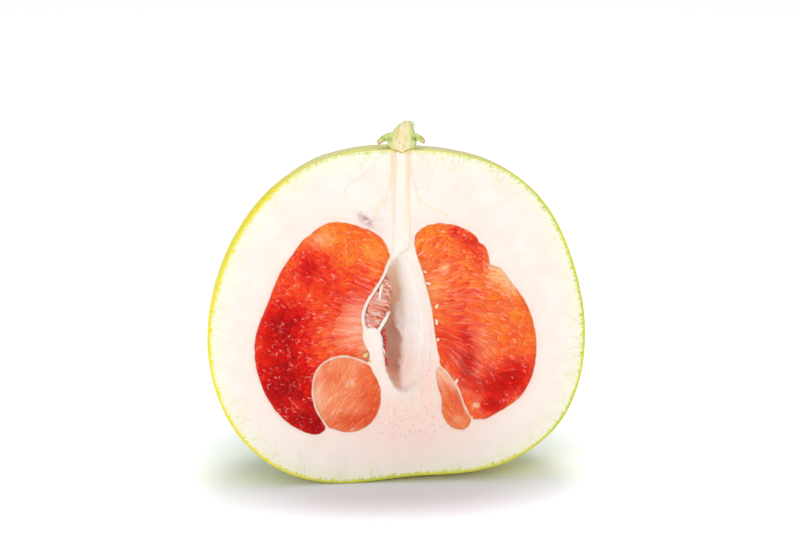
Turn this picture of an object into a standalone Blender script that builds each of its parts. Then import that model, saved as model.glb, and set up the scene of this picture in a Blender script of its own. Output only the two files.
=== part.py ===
"""Half a pomelo, cut lengthways through its stem and standing on its blossom end.

The cut face looks towards -Y and lies in one plane. X runs across the cut, Z runs up the
fruit, and the origin is the middle of the bounding box's underside.
"""
import math

import bmesh
import bpy
import numpy as np
from mathutils.geometry import delaunay_2d_cdt

MM = 0.001  # one millimetre in metres; every size below is in millimetres

# The rind's outline in the cut face, as (x, z) from the stem down to the blossom end.
OUTLINE_RIGHT = [(1.7, 138.3), (17, 136.6), (33, 133.2), (49, 125), (61.5, 111.6), (69.8, 94),
                 (75.3, 73.5), (76.5, 57), (74.6, 40.5), (66.8, 22.6), (50.4, 9.1), (34, 3.7),
                 (20, 2.6), (9, 2.6)]
OUTLINE_LEFT = [(1.7, 138.3), (-15, 137.2), (-31, 134.2), (-47, 124), (-59, 111.2), (-69, 93.6),
                (-75.5, 72), (-76.5, 55), (-73, 37.6), (-64, 19.8), (-48, 6), (-32, 0.8),
                (-19, -0.1), (-4, 1.5), (9, 2.6)]

# The hidden back: a little more than half a fruit, so it swells slightly behind the cut.
DEPTH_RATIO = 0.89
SWELL_ANGLE = math.radians(7)
REST_SPOT = (3, 27)  # (x, distance behind the cut) that the fruit's weight has flattened
REST_RADIUS = 44
REST_SAG = 7
DOME_ROWS = 34
DOME_COLUMNS = 22

SKIN = 1.6
GAP = 0.35  # clearance between neighbouring pieces

# The cut segments, as closed outlines in the cut face, with the point their juice sacs aim at.
SEGMENTS = {
    "pulp_left": {
        "outline": [(-25, 108.6), (-14.3, 106), (-6.9, 102), (-3.9, 95.5), (-7.2, 85), (-13, 77.2),
                    (-15.6, 69), (-14.6, 60), (-15.8, 55.6), (-20.5, 54.9), (-28.4, 53.6),
                    (-34.2, 48.4), (-35.7, 39), (-33.8, 30.6), (-29.8, 23.8), (-32.6, 20.7),
                    (-40, 23.1), (-48, 29.5), (-54, 39.5), (-57.3, 51), (-57, 63), (-51.8, 76.6),
                    (-46.3, 89.5), (-38, 100.4), (-32.6, 105.6)],
        "focus": (2, 66), "depth": 27, "recess": 0.1, "colour": (0.62, 0.035, 0.012)},
    "pulp_lower_left": {
        "outline": [(-19.8, 52), (-12.4, 49), (-8, 42), (-7, 34.5), (-9.8, 26.6), (-17, 21.8),
                    (-25.6, 22.9), (-31.2, 28.8), (-33.6, 38), (-32, 46.2), (-26.8, 51)],
        "focus": (-4, 18), "depth": 24, "recess": 0.1, "colour": (0.74, 0.12, 0.045)},
    "pulp_right": {
        "outline": [(6.7, 99.6), (9.3, 105), (16, 107.1), (25.5, 105.4), (32.6, 100.4),
                    (37.4, 92.2), (41.6, 88.4), (46.2, 82), (51.8, 74.2), (55.4, 64.6),
                    (56.6, 53.6), (54.6, 42), (49.6, 33.8), (41.4, 28.4), (34.6, 25.1),
                    (30.2, 28.4), (27.4, 36), (23.4, 43.6), (17.6, 50.4), (15.6, 60),
                    (13.8, 73), (10.6, 86)],
        "focus": (-6, 72), "depth": 27, "recess": 0.1, "colour": (0.68, 0.06, 0.02)},
    "pulp_lower_right": {
        "outline": [(15.6, 47.6), (20.4, 42.4), (23.4, 37.6), (25.2, 32), (28, 26.6), (29.6, 23.2),
                    (25.8, 21.1), (21, 23.4), (18.2, 28.6), (18.2, 34.6), (16.2, 41.4)],
        "focus": (14, 56), "depth": 16, "recess": 0.1, "colour": (0.78, 0.17, 0.06)},
    "pulp_core": {
        "outline": [(-4.9, 85.5), (-3, 82), (-2.4, 77.5), (-2.9, 72.5), (-5, 68), (-8, 64.7),
                    (-11, 64.8), (-12.7, 68.6), (-11.7, 73.2), (-9.4, 77.4), (-7, 81.4)],
        "focus": (4, 96), "depth": 11, "recess": 1.4, "colour": (0.72, 0.14, 0.1)},
}
SEGMENT_POINTS_PER_MM = 0.3
SEGMENT_LEAST_POINTS = 28
SEGMENT_BACK = ((0.35, 0.97), (0.7, 0.84), (1.0, 0.6))  # (part of depth, scale)
SAC_WIDTH = 2.5
SAC_LENGTH = 6
SAC_RELIEF = 0.8

# The hollow where the core dried out: a steep left wall and a right wall that slopes in.
HOLLOW_OUTLINE = [(1.2, 94.8), (-2.4, 92), (-4.4, 87.5), (-5.8, 81.5), (-7, 74), (-7.4, 66),
                  (-6.3, 59), (-6, 53), (-4.8, 46.8), (-2, 40.6), (2, 37.4), (6.6, 38.6),
                  (10.6, 42.8), (12.9, 49.5), (13.3, 59), (12.3, 69), (10.4, 79.5), (7.9, 88),
                  (4.6, 93.4)]
HOLLOW_DEEP_POINT = (-4.4, 66)
HOLLOW_LEVELS = ((0, 1, 1), (4, 0.82, 0.95), (9, 0.6, 0.86), (14, 0.38, 0.72), (17, 0.14, 0.5))
HOLLOW_POINTS = 40

# The stem button: a woody post in the top of the rind, with drooping sepals round it.
STEM_X = 1.6
STEM_PROFILE = [(0, 136.2), (3.2, 136.5), (5.0, 137.5), (5.3, 138.7), (4.8, 140.2), (4.4, 142.2),
                (3.3, 143.6), (3.0, 145.4), (3.2, 146.8), (1.9, 148.2), (0, 148.5)]
STEM_SIDES = 20
STEM_SOCKET = [(0, 135.8), (3.3, 136.1), (5.4, 137.2), (5.7, 138.4), (5.7, 141)]
SEPAL_ANGLES = (6, 64, 121, 176)
SEPAL_REACH = (9.4, 8.6, 9.2, 9.8)
SEPAL_ROOT_RADIUS = 2.6
SEPAL_ROOT_HEIGHT = 143.0
SEPAL_DROOP = 2.9
SEPAL_HALF_WIDTH = 3.5
SEPAL_THICKNESS = 1.2
SEPAL_EDGE_CURL = 0.7
SEPAL_STEPS = 8
SEPAL_LANES = 6

# Two small tan seeds that did not fill out, as (x, z, length, width, tilt in degrees).
SEEDS = {"seed_upper": (-12.3, 53.5, 2.6, 1.7, 35), "seed_lower": (-10.3, 50.4, 2.1, 1.4, 60)}

COLOURS = {"skin": (0.42, 0.5, 0.02), "pith": (0.93, 0.84, 0.76), "stem": (0.5, 0.52, 0.2),
           "seed": (0.55, 0.34, 0.13)}
CUT_REACH = 3  # how far cutters run out in front of the cut face


def clear_scene():
    for item in list(bpy.data.objects):
        bpy.data.objects.remove(item, do_unlink=True)


def material(name, colour, roughness):
    made = bpy.data.materials.new(name)
    made.use_nodes = True
    shader = made.node_tree.nodes["Principled BSDF"]
    shader.inputs["Base Color"].default_value = (*colour, 1)
    shader.inputs["Roughness"].default_value = roughness
    shader.inputs["Metallic"].default_value = 0
    return made


def smooth_curve(points, count, closed):
    """Catmull-Rom curve through the points, as `count` points evenly spaced along it."""
    steps = 24
    corners = np.array(points, float)
    if closed:
        padded = np.vstack([corners[-1:], corners, corners[:2]])
    else:
        before = 2 * corners[0] - corners[1]
        after = 2 * corners[-1] - corners[-2]
        padded = np.vstack([before, corners, after])
    fine = []
    for start in range(len(padded) - 3):
        a, b, c, d = padded[start:start + 4]
        for step in range(steps):
            t = step / steps
            fine.append(0.5 * (2 * b + (c - a) * t + (2 * a - 5 * b + 4 * c - d) * t ** 2
                               + (3 * b - a - 3 * c + d) * t ** 3))
    fine.append(padded[-2])
    fine = np.array(fine)
    travelled = np.concatenate([[0], np.cumsum(np.linalg.norm(np.diff(fine, axis=0), axis=1))])
    wanted = np.linspace(0, travelled[-1], count, endpoint=not closed)
    return np.column_stack([np.interp(wanted, travelled, fine[:, axis]) for axis in (0, 1)])


def grown(outline, distance):
    """A closed outline moved outwards along its own normals."""
    tangent = np.roll(outline, -1, axis=0) - np.roll(outline, 1, axis=0)
    tangent /= np.linalg.norm(tangent, axis=1)[:, None]
    normal = np.column_stack([tangent[:, 1], -tangent[:, 0]])
    if signed_area(outline) < 0:
        normal = -normal
    return outline + normal * distance


def signed_area(outline):
    following = np.roll(outline, -1, axis=0)
    return 0.5 * float(np.sum(outline[:, 0] * following[:, 1] - following[:, 0] * outline[:, 1]))


def dome_points():
    """The rind's outer surface as rows from stem to blossom end, columns from right to left."""
    right = smooth_curve(OUTLINE_RIGHT, DOME_ROWS + 1, closed=False)
    left = smooth_curve(OUTLINE_LEFT, DOME_ROWS + 1, closed=False)
    angles = np.linspace(-SWELL_ANGLE, math.pi + SWELL_ANGLE, DOME_COLUMNS + 1)
    grid = np.zeros((DOME_ROWS + 1, DOME_COLUMNS + 1, 3))
    for row in range(DOME_ROWS + 1):
        share = row / DOME_ROWS
        axis_x = OUTLINE_RIGHT[0][0] * (1 - share) + OUTLINE_RIGHT[-1][0] * share
        reach_right = right[row, 0] - axis_x
        reach_left = axis_x - left[row, 0]
        depth = DEPTH_RATIO * (reach_right + reach_left) / 2
        for column, angle in enumerate(angles):
            across = math.cos(angle) / math.cos(SWELL_ANGLE)
            back = math.sin(angle) + math.sin(SWELL_ANGLE)
            side = (1 + across) / 2
            side = side * side * (3 - 2 * side)
            height = side * right[row, 1] + (1 - side) * left[row, 1]
            x = axis_x + (reach_right if across > 0 else reach_left) * across
            y = depth * back
            if share > 0.5:
                height -= rest_sag(x, y)
            grid[row, column] = (x, y, max(0, height))
    return grid


def rest_sag(x, y):
    """How far the underside hangs down round the rest spot; none of it at the cut face."""
    away = math.hypot(x - REST_SPOT[0], y - REST_SPOT[1])
    return REST_SAG * max(0, 1 - (away / REST_RADIUS) ** 2) ** 2 * min(1, y / REST_SPOT[1])


def inward(grid, distance):
    """The surface moved into the fruit by a distance, with its rim kept in the cut face."""
    down = np.gradient(grid, axis=0)
    across = np.gradient(grid, axis=1)
    normal = np.cross(across, down)
    length = np.linalg.norm(normal, axis=2)
    length[length == 0] = 1
    normal /= length[:, :, None]
    normal[0] = (0, 0, 1)
    normal[-1] = (0, 0, -1)
    if normal[DOME_ROWS // 2, DOME_COLUMNS // 2, 1] < 0:
        normal[1:-1] = -normal[1:-1]
    moved = grid - normal * distance
    moved[:, 0, 1] = 0
    moved[:, -1, 1] = 0
    moved[0, :, 1] = 0
    moved[-1, :, 1] = 0
    return moved


def add_dome(mesh, grid):
    """Adds a dome's vertices and faces, and returns its rim as one closed ring of vertices."""
    top = mesh.verts.new(grid[0, 0])
    bottom = mesh.verts.new(grid[-1, 0])
    rows = [[mesh.verts.new(point) for point in line] for line in grid[1:-1]]
    for column in range(DOME_COLUMNS):
        mesh.faces.new((top, rows[0][column], rows[0][column + 1]))
        mesh.faces.new((bottom, rows[-1][column + 1], rows[-1][column]))
        for upper, lower in zip(rows, rows[1:]):
            mesh.faces.new((upper[column], lower[column], lower[column + 1], upper[column + 1]))
    return [top] + [row[0] for row in rows] + [bottom] + [row[-1] for row in reversed(rows)]


def add_loft(mesh, rings):
    """Adds walls between rings of (x, y, z) points and returns the rings' vertices."""
    made = [[mesh.verts.new(point) for point in ring] for ring in rings]
    for near, far in zip(made, made[1:]):
        for index in range(len(near)):
            after = (index + 1) % len(near)
            mesh.faces.new((near[index], near[after], far[after], far[index]))
    return made


def at_depth(outline, depth):
    return [(x, depth, z) for x, z in outline]


def lathe_rings(profile, centre_x, sides):
    """Rings of a turned shape round an upright axis in the cut face; end radii may be zero."""
    rings = []
    for radius, height in profile:
        turn = [2 * math.pi * side / sides for side in range(sides)]
        rings.append([(centre_x + radius * math.cos(a), radius * math.sin(a), height)
                      for a in turn])
    return rings


def new_object(name, mesh, cut_depth, finish=None, guide=False):
    """Turns a bmesh in millimetres into an object, with the cut face moved to its place."""
    bmesh.ops.remove_doubles(mesh, verts=mesh.verts, dist=0.001)
    bmesh.ops.recalc_face_normals(mesh, faces=mesh.faces)
    for vertex in mesh.verts:
        vertex.co = (vertex.co.x * MM, (vertex.co.y - cut_depth) * MM, vertex.co.z * MM)
    data = bpy.data.meshes.new(name)
    mesh.to_mesh(data)
    mesh.free()
    made = bpy.data.objects.new(name, data)
    bpy.context.collection.objects.link(made)
    if finish:
        data.materials.append(finish)
        data.shade_smooth()
        data.set_sharp_from_angle(angle=math.radians(40))
    if guide:
        made.hide_render = True
        made.display_type = "WIRE"
    return made


def cut(target, cutter, operation="DIFFERENCE"):
    modifier = target.modifiers.new(operation.title() + " " + cutter.name, "BOOLEAN")
    modifier.operation = operation
    modifier.solver = "EXACT"
    modifier.object = cutter


def make_skin(outer, cut_depth):
    mesh = bmesh.new()
    outside = add_dome(mesh, outer)
    inside = add_dome(mesh, inward(outer, SKIN))
    for index in range(len(outside)):
        after = (index + 1) % len(outside)
        mesh.faces.new((outside[index], outside[after], inside[after], inside[index]))
    return new_object("skin", mesh, cut_depth, material("Skin", COLOURS["skin"], 0.42))


def make_pith(outer, cut_depth):
    mesh = bmesh.new()
    mesh.faces.new(add_dome(mesh, inward(outer, SKIN + GAP)))
    return new_object("pith", mesh, cut_depth, material("Pith", COLOURS["pith"], 0.7))


def segment_outline(shape):
    rough = smooth_curve(shape["outline"], 200, closed=True)
    length = np.sum(np.linalg.norm(np.roll(rough, -1, axis=0) - rough, axis=1))
    count = max(SEGMENT_LEAST_POINTS, int(length * SEGMENT_POINTS_PER_MM))
    return smooth_curve(shape["outline"], count, closed=True)


def segment_back_rings(outline, shape, extra):
    """Rings that close a segment's hidden back, pulled in towards its middle."""
    middle = outline.mean(axis=0)
    rings = []
    for part, scale in SEGMENT_BACK:
        ring = grown(middle + (outline - middle) * scale, extra)
        rings.append(at_depth(ring, shape["depth"] * part))
    return rings


def inside_outline(point, outline):
    """Whether a point is inside an outline, by counting the edges that a ray crosses."""
    x, z = point
    crossings = 0
    for (ax, az), (bx, bz) in zip(outline, np.roll(outline, -1, axis=0)):
        if (az > z) != (bz > z) and x < ax + (z - az) * (bx - ax) / (bz - az):
            crossings += 1
    return crossings % 2 == 1


def sac_points(outline, focus):
    """A staggered fan of points that aims at the focus: sac crests, and creases between."""
    away = outline - np.array(focus)
    distances = np.linalg.norm(away, axis=1)
    # The fan is measured off a reference direction, so that no angle wraps round.
    ahead = outline.mean(axis=0) - np.array(focus)
    heading = math.atan2(ahead[1], ahead[0])
    middle_distance = float(distances.mean())
    inner = grown(outline, -0.9)
    lane_angle = SAC_WIDTH / 2 / middle_distance
    lanes = int(math.pi / lane_angle)
    points = []
    for lane in range(-lanes // 2, lanes // 2 + 1):
        angle = heading + lane * lane_angle
        for step in range(int(distances.min() // (SAC_LENGTH / 2)),
                          int(distances.max() // (SAC_LENGTH / 2)) + 1):
            reach = (step + 0.5 * (lane % 2)) * SAC_LENGTH / 2
            point = (focus[0] + reach * math.cos(angle), focus[1] + reach * math.sin(angle))
            crest = lane % 2 == 0 and (step + lane // 2) % 2 == 0
            if inside_outline(point, inner):
                points.append((point, 0 if crest else SAC_RELIEF))
    return points


def make_segment(name, shape, cut_depth):
    """One cut segment: a face raised into juice sacs, and a rounded hidden back."""
    outline = segment_outline(shape)
    mesh = bmesh.new()
    rim_depth = shape["recess"] + SAC_RELIEF
    rings = [at_depth(outline, rim_depth)] + segment_back_rings(outline, shape, 0)
    made = add_loft(mesh, rings)
    mesh.faces.new(made[-1])
    sacs = sac_points(outline, shape["focus"])
    flat = [tuple(point) for point in outline] + [point for point, depth in sacs]
    edges = [(index, (index + 1) % len(outline)) for index in range(len(outline))]
    found, _, faces, sources, _, _ = delaunay_2d_cdt(flat, edges, [], 1, 1e-5)
    corners = []
    for point, source in zip(found, sources):
        index = source[0]
        if index < len(outline):
            corners.append(made[0][index])
        else:
            depth = shape["recess"] + sacs[index - len(outline)][1]
            corners.append(mesh.verts.new((point[0], depth, point[1])))
    for face in faces:
        mesh.faces.new([corners[index] for index in face])
    finish = material(name.replace("_", " ").title(), shape["colour"], 0.3)
    return new_object(name, mesh, cut_depth, finish)


def make_pocket(name, shape, cut_depth):
    """The room that a segment takes up in the pith, a little larger than the segment."""
    outline = segment_outline(shape)
    mesh = bmesh.new()
    opening = [at_depth(grown(outline, GAP), -CUT_REACH), at_depth(grown(outline, GAP), 1)]
    back = segment_back_rings(outline, shape, GAP)
    floor = [(x, y + GAP, z) for x, y, z in back[-1]]
    made = add_loft(mesh, opening + back + [floor])
    mesh.faces.new(made[0])
    mesh.faces.new(made[-1])
    return new_object(name + "_pocket", mesh, cut_depth, guide=True)


def make_hollow(cut_depth):
    outline = smooth_curve(HOLLOW_OUTLINE, HOLLOW_POINTS, closed=True)
    deep = np.array(HOLLOW_DEEP_POINT)
    rings = [at_depth(outline, -CUT_REACH)]
    for depth, scale_x, scale_z in HOLLOW_LEVELS:
        rings.append(at_depth(deep + (outline - deep) * (scale_x, scale_z), depth))
    mesh = bmesh.new()
    made = add_loft(mesh, rings)
    mesh.faces.new(made[0])
    mesh.faces.new(made[-1])
    return new_object("core_hollow", mesh, cut_depth, guide=True)


def make_turned(name, profile, cut_depth, finish=None, guide=False):
    mesh = bmesh.new()
    made = add_loft(mesh, lathe_rings(profile, STEM_X, STEM_SIDES))
    if profile[-1][0] > 0:
        mesh.faces.new(made[-1])
    return new_object(name, mesh, cut_depth, finish, guide)


def sepal_grid(angle, reach, lift):
    """One face of a drooping sepal: rounded in outline, curled down along both edges."""
    grid = []
    for step in range(SEPAL_STEPS + 1):
        along = step / SEPAL_STEPS
        half_width = SEPAL_HALF_WIDTH * math.sqrt(1 - 0.93 * along ** 2.4)
        radius = SEPAL_ROOT_RADIUS + (reach - SEPAL_ROOT_RADIUS) * along
        height = SEPAL_ROOT_HEIGHT - SEPAL_DROOP * along ** 2 + lift * (1 - 0.45 * along)
        line = []
        for lane in range(SEPAL_LANES + 1):
            side = 2 * lane / SEPAL_LANES - 1
            sideways = half_width * side
            drop = SEPAL_EDGE_CURL * side * side * along
            x = STEM_X + radius * math.cos(angle) - sideways * math.sin(angle)
            y = radius * math.sin(angle) + sideways * math.cos(angle)
            line.append((x, y, height - drop))
        grid.append(line)
    return grid


def make_sepal(number, angle_degrees, reach, cut_depth):
    mesh = bmesh.new()
    angle = math.radians(angle_degrees)
    above = [[mesh.verts.new(p) for p in line] for line in sepal_grid(angle, reach, 0)]
    below = [[mesh.verts.new(p) for p in line]
             for line in sepal_grid(angle, reach, -SEPAL_THICKNESS)]
    for face in (above, below):
        for near, far in zip(face, face[1:]):
            for lane in range(SEPAL_LANES):
                mesh.faces.new((near[lane], near[lane + 1], far[lane + 1], far[lane]))
    edge_above = ring_of(above)
    edge_below = ring_of(below)
    for index in range(len(edge_above)):
        after = (index + 1) % len(edge_above)
        mesh.faces.new((edge_above[index], edge_above[after], edge_below[after],
                        edge_below[index]))
    return new_object(f"sepal_{number}", mesh, cut_depth, guide=True)


def ring_of(grid):
    """The border of a grid, in order round it."""
    near = grid[0]
    far = grid[-1]
    return (near + [line[-1] for line in grid[1:-1]] + far[::-1]
            + [line[0] for line in grid[-2:0:-1]])


def make_front_guard(cut_depth):
    """Everything in front of the cut face, as a block to take away."""
    mesh = bmesh.new()
    bmesh.ops.create_cube(mesh, size=1)
    for vertex in mesh.verts:
        vertex.co = (vertex.co.x * 60, vertex.co.y * 30 - 15, 143 + vertex.co.z * 40)
    return new_object("front_guard", mesh, cut_depth, guide=True)


def make_stem(cut_depth):
    finish = material("Stem", COLOURS["stem"], 0.65)
    stem = make_turned("stem", STEM_PROFILE, cut_depth, finish)
    for number, (angle, reach) in enumerate(zip(SEPAL_ANGLES, SEPAL_REACH), 1):
        cut(stem, make_sepal(number, angle, reach, cut_depth), "UNION")
    cut(stem, make_front_guard(cut_depth))
    return stem


def seed_body(name, place, extra, cut_depth, finish=None, guide=False):
    x, z, length, width, tilt = place
    turn = math.radians(tilt)
    mesh = bmesh.new()
    bmesh.ops.create_icosphere(mesh, subdivisions=2, radius=1)
    for vertex in mesh.verts:
        along = vertex.co.x * (length / 2 + extra)
        # One end is drawn out, as a seed's pointed end is.
        across = vertex.co.z * (width / 2 + extra) * (1 - 0.25 * vertex.co.x)
        deep = vertex.co.y * (width / 2 + extra)
        vertex.co = (x + along * math.cos(turn) - across * math.sin(turn), width / 2 + 0.3 + deep,
                     z + along * math.sin(turn) + across * math.cos(turn))
    return new_object(name, mesh, cut_depth, finish, guide)


def main():
    clear_scene()
    outer = dome_points()
    outer[:, :, 0] -= (outer[:, :, 0].min() + outer[:, :, 0].max()) / 2
    # The bounding box is centred on the origin, so the cut face lies half the depth in front.
    cut_depth = float(outer[:, :, 1].max()) / 2

    skin = make_skin(outer, cut_depth)
    pith = make_pith(outer, cut_depth)
    for name, shape in SEGMENTS.items():
        make_segment(name, shape, cut_depth)
        cut(pith, make_pocket(name, shape, cut_depth))
    cut(pith, make_hollow(cut_depth))
    make_stem(cut_depth)
    socket = make_turned("stem_socket", STEM_SOCKET, cut_depth, guide=True)
    cut(skin, socket)
    cut(pith, socket)
    seed_finish = material("Seed", COLOURS["seed"], 0.5)
    for name, place in SEEDS.items():
        seed_body(name, place, 0, cut_depth, seed_finish)
        cut(pith, seed_body(name + "_pocket", place, GAP, cut_depth, guide=True))


main()
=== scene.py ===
"""The looks of the half pomelo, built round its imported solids.

The cut face lies in the plane y = CUT and looks towards -Y. Lengths are in millimetres until
a mesh is made. Outlines are read from the solids, so each piece sits where its solid does.
"""
import math

import bmesh
import bpy
import numpy as np
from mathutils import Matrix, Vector, kdtree, noise
from mathutils.bvhtree import BVHTree
from mathutils.geometry import delaunay_2d_cdt


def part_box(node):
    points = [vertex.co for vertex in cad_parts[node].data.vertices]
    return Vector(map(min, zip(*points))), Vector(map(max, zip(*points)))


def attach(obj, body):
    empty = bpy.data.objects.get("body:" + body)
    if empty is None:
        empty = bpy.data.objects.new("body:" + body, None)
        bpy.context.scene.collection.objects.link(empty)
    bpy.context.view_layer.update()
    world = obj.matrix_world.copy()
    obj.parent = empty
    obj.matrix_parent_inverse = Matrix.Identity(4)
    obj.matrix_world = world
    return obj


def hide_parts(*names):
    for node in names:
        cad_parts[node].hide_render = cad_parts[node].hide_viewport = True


MM = 0.001
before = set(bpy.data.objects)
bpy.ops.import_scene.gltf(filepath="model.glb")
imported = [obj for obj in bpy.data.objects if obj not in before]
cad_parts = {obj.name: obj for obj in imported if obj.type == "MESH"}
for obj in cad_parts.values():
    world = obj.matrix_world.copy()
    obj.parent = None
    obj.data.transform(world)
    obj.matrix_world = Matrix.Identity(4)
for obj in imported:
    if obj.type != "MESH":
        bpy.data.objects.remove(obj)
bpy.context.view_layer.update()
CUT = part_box("pith")[0].y / MM
CIRCLE = 2 * math.pi
QUARTER = math.pi / 2
random = np.random.default_rng(7)

# ---------------------------------------------------------------- reading the solids


def area(loop):
    """An outline's area, above zero where it runs anticlockwise."""
    after = np.roll(loop, -1, axis=0)
    return 0.5 * float(np.sum(loop[:, 0] * after[:, 1] - after[:, 0] * loop[:, 1]))


def section_loops(node, depth):
    """The closed outlines, as (x, z), where a plane behind the cut face crosses a node."""
    mesh = bmesh.new()
    mesh.from_mesh(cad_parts[node].data)
    bmesh.ops.remove_doubles(mesh, verts=mesh.verts, dist=1e-6)
    everything = mesh.verts[:] + mesh.edges[:] + mesh.faces[:]
    cut = bmesh.ops.bisect_plane(mesh, geom=everything, dist=1e-8, plane_no=(0, 1, 0),
                                 plane_co=(0, (CUT + depth) * MM, 0))
    links = {}
    for edge in cut["geom_cut"]:
        if isinstance(edge, bmesh.types.BMEdge):
            first, second = edge.verts
            links.setdefault(first, []).append(second)
            links.setdefault(second, []).append(first)
    loops = []
    left = set(links)
    while left:
        here = max(left, key=lambda vertex: (vertex.co.x, vertex.co.z))
        loop = []
        while here:
            left.remove(here)
            loop.append((here.co.x / MM, here.co.z / MM))
            here = next((vertex for vertex in links[here] if vertex in left), None)
        loops.append(np.array(loop))
    mesh.free()
    return sorted((loop for loop in loops if len(loop) > 5), key=lambda loop: -abs(area(loop)))


def solid_tree(node):
    """A ray-casting tree over a node, in millimetres."""
    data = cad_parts[node].data
    points = [vertex.co / MM for vertex in data.vertices]
    return BVHTree.FromPolygons(points, [list(face.vertices) for face in data.polygons])


# ---------------------------------------------------------------- outlines and fields


def unit(vectors, least=0.0):
    """Vectors brought to length one; those shorter than the least stay shorter."""
    return vectors / np.maximum(np.linalg.norm(vectors, axis=1), least)[:, None]


def even(loop, spacing):
    """A closed outline with its points evenly spaced, running anticlockwise."""
    if area(loop) < 0:
        loop = loop[::-1]
    closed = np.vstack([loop, loop[:1]])
    travelled = np.concatenate([[0], np.cumsum(np.linalg.norm(np.diff(closed, axis=0), axis=1))])
    count = max(12, int(round(travelled[-1] / spacing)))
    wanted = np.linspace(0, travelled[-1], count, endpoint=False)
    return np.column_stack([np.interp(wanted, travelled, closed[:, axis]) for axis in (0, 1)])


def soft(loop, spacing, width):
    """An evenly spaced outline with its facets smoothed away over a width."""
    loop = even(loop, spacing)
    reach = int(3 * width / spacing)
    offsets = np.arange(-reach, reach + 1)
    weights = np.exp(-0.5 * (offsets * spacing / width) ** 2)
    weights /= weights.sum()
    return sum(weight * np.roll(loop, -offset, axis=0) for weight, offset in zip(weights, offsets))


def grown(loop, distance):
    """An anticlockwise outline moved outwards."""
    tangent = unit(np.roll(loop, -1, axis=0) - np.roll(loop, 1, axis=0))
    return loop + distance * np.column_stack([tangent[:, 1], -tangent[:, 0]])


def inside(points, loop):
    """For each point, whether it is inside the outline."""
    result = np.zeros(len(points), bool)
    x, z = points.T
    for (ax, az), (bx, bz) in zip(loop, np.roll(loop, -1, axis=0)):
        if az != bz:
            result ^= ((az > z) != (bz > z)) & (x < ax + (z - az) * (bx - ax) / (bz - az))
    return result


def search_tree(points):
    tree = kdtree.KDTree(len(points))
    for index, (x, z) in enumerate(points):
        tree.insert((x, z, 0), index)
    tree.balance()
    return tree


def nearest(points, loop):
    """For each point, how far the nearest point of an outline is, and that point's number."""
    tree = search_tree(loop)
    found = [tree.find((x, z, 0)) for x, z in points]
    return np.array([hit[2] for hit in found]), np.array([hit[1] for hit in found])


def distance_to(points, loop):
    return nearest(points, loop)[0]


LATTICE_SHAKE = 0.12


def lattice(loop, spacing):
    """Points of a triangular lattice inside an outline, shaken a little."""
    low, high = loop.min(axis=0), loop.max(axis=0)
    points = []
    for number, z in enumerate(np.arange(low[1], high[1], spacing * math.sqrt(3) / 2)):
        xs = np.arange(low[0] + (number % 2) * spacing / 2, high[0], spacing)
        points.append(np.column_stack([xs, np.full(len(xs), z)]))
    points = np.vstack(points)
    points += random.uniform(-LATTICE_SHAKE, LATTICE_SHAKE, points.shape) * spacing
    return points[inside(points, loop)]


def fade(low, high, value):
    """A smooth step from 0 at low to 1 at high."""
    share = np.clip((value - low) / (high - low), 0, 1)
    return share * share * (3 - 2 * share)


def spot(points, x, z, reach_x, reach_z):
    """A soft spot: one in its middle, and nothing beyond its reach."""
    return np.exp(-((points[:, 0] - x) / reach_x) ** 2 - ((points[:, 1] - z) / reach_z) ** 2)


def noise_at(points, size, seed=0.0):
    """Smooth noise from -1 to 1 at (x, z) or (x, y, z) points, with features of that size."""
    if points.shape[1] == 2:
        points = np.column_stack([points, np.zeros(len(points))])
    return np.array([noise.noise(Vector(point)) for point in points / size + seed])


# ---------------------------------------------------------------- making meshes


def triangulated(loops, extra):
    """Joins outlines and loose points into triangles; returns points, triangles, sources."""
    points, edges = [], []
    for loop in loops:
        start = len(points)
        points += loop.tolist()
        edges += [(start + i, start + (i + 1) % len(loop)) for i in range(len(loop))]
    points += extra.tolist()
    found, _, faces, sources, _, _ = delaunay_2d_cdt(points, edges, [], 0, 1e-6)
    return np.array(found), np.array(faces), np.array([item[0] for item in sources])


def new_object(name, data):
    made = bpy.data.objects.new(name, data)
    bpy.context.scene.collection.objects.link(made)
    return made


def make_object(name, points, faces, finish, fields=None, replaces=()):
    """An object from points in millimetres, riding on the only body."""
    data = bpy.data.meshes.new(name)
    data.from_pydata((np.asarray(points) * MM).tolist(), [], [list(map(int, f)) for f in faces])
    data.validate()
    for key, values in (fields or {}).items():
        layer = data.attributes.new(key, "FLOAT", "POINT")
        layer.data.foreach_set("value", np.asarray(values, np.float32))
    data.materials.append(finish)
    data.shade_smooth()
    made = new_object(name, data)
    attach(made, "root")
    if replaces:
        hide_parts(*replaces)
    return made


def turn_outwards(made):
    """Turns every face of a piece outwards."""
    mesh = bmesh.new()
    mesh.from_mesh(made.data)
    bmesh.ops.recalc_face_normals(mesh, faces=mesh.faces)
    mesh.to_mesh(made.data)
    mesh.free()


def make_joined(name, shapes, finish, fields=None, replaces=(), wrinkle=None):
    """One object from several (points, faces) shapes, with its faces turned outwards."""
    points, faces = [], []
    for some_points, some_faces in shapes:
        start = len(points)
        points += list(some_points)
        faces += [tuple(start + index for index in face) for face in some_faces]
    points = np.array(points)
    if wrinkle:
        points = points + wrinkle(points)
    turn_outwards(make_object(name, points, faces, finish, fields, replaces))


def as_3d(points, depth):
    """Points (x, z) of the cut face, moved back by a depth."""
    return np.column_stack([points[:, 0], np.full(len(points), CUT) + depth, points[:, 1]])


def facing_front(points, faces):
    """Triangles or quads turned so that their normals look towards -Y."""
    a, b, c = (points[faces[:, i]] for i in range(3))
    normal_y = (b - a)[:, 2] * (c - a)[:, 0] - (b - a)[:, 0] * (c - a)[:, 2]
    turned = faces.copy()
    turned[normal_y > 0] = turned[normal_y > 0][:, ::-1]
    return turned


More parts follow.
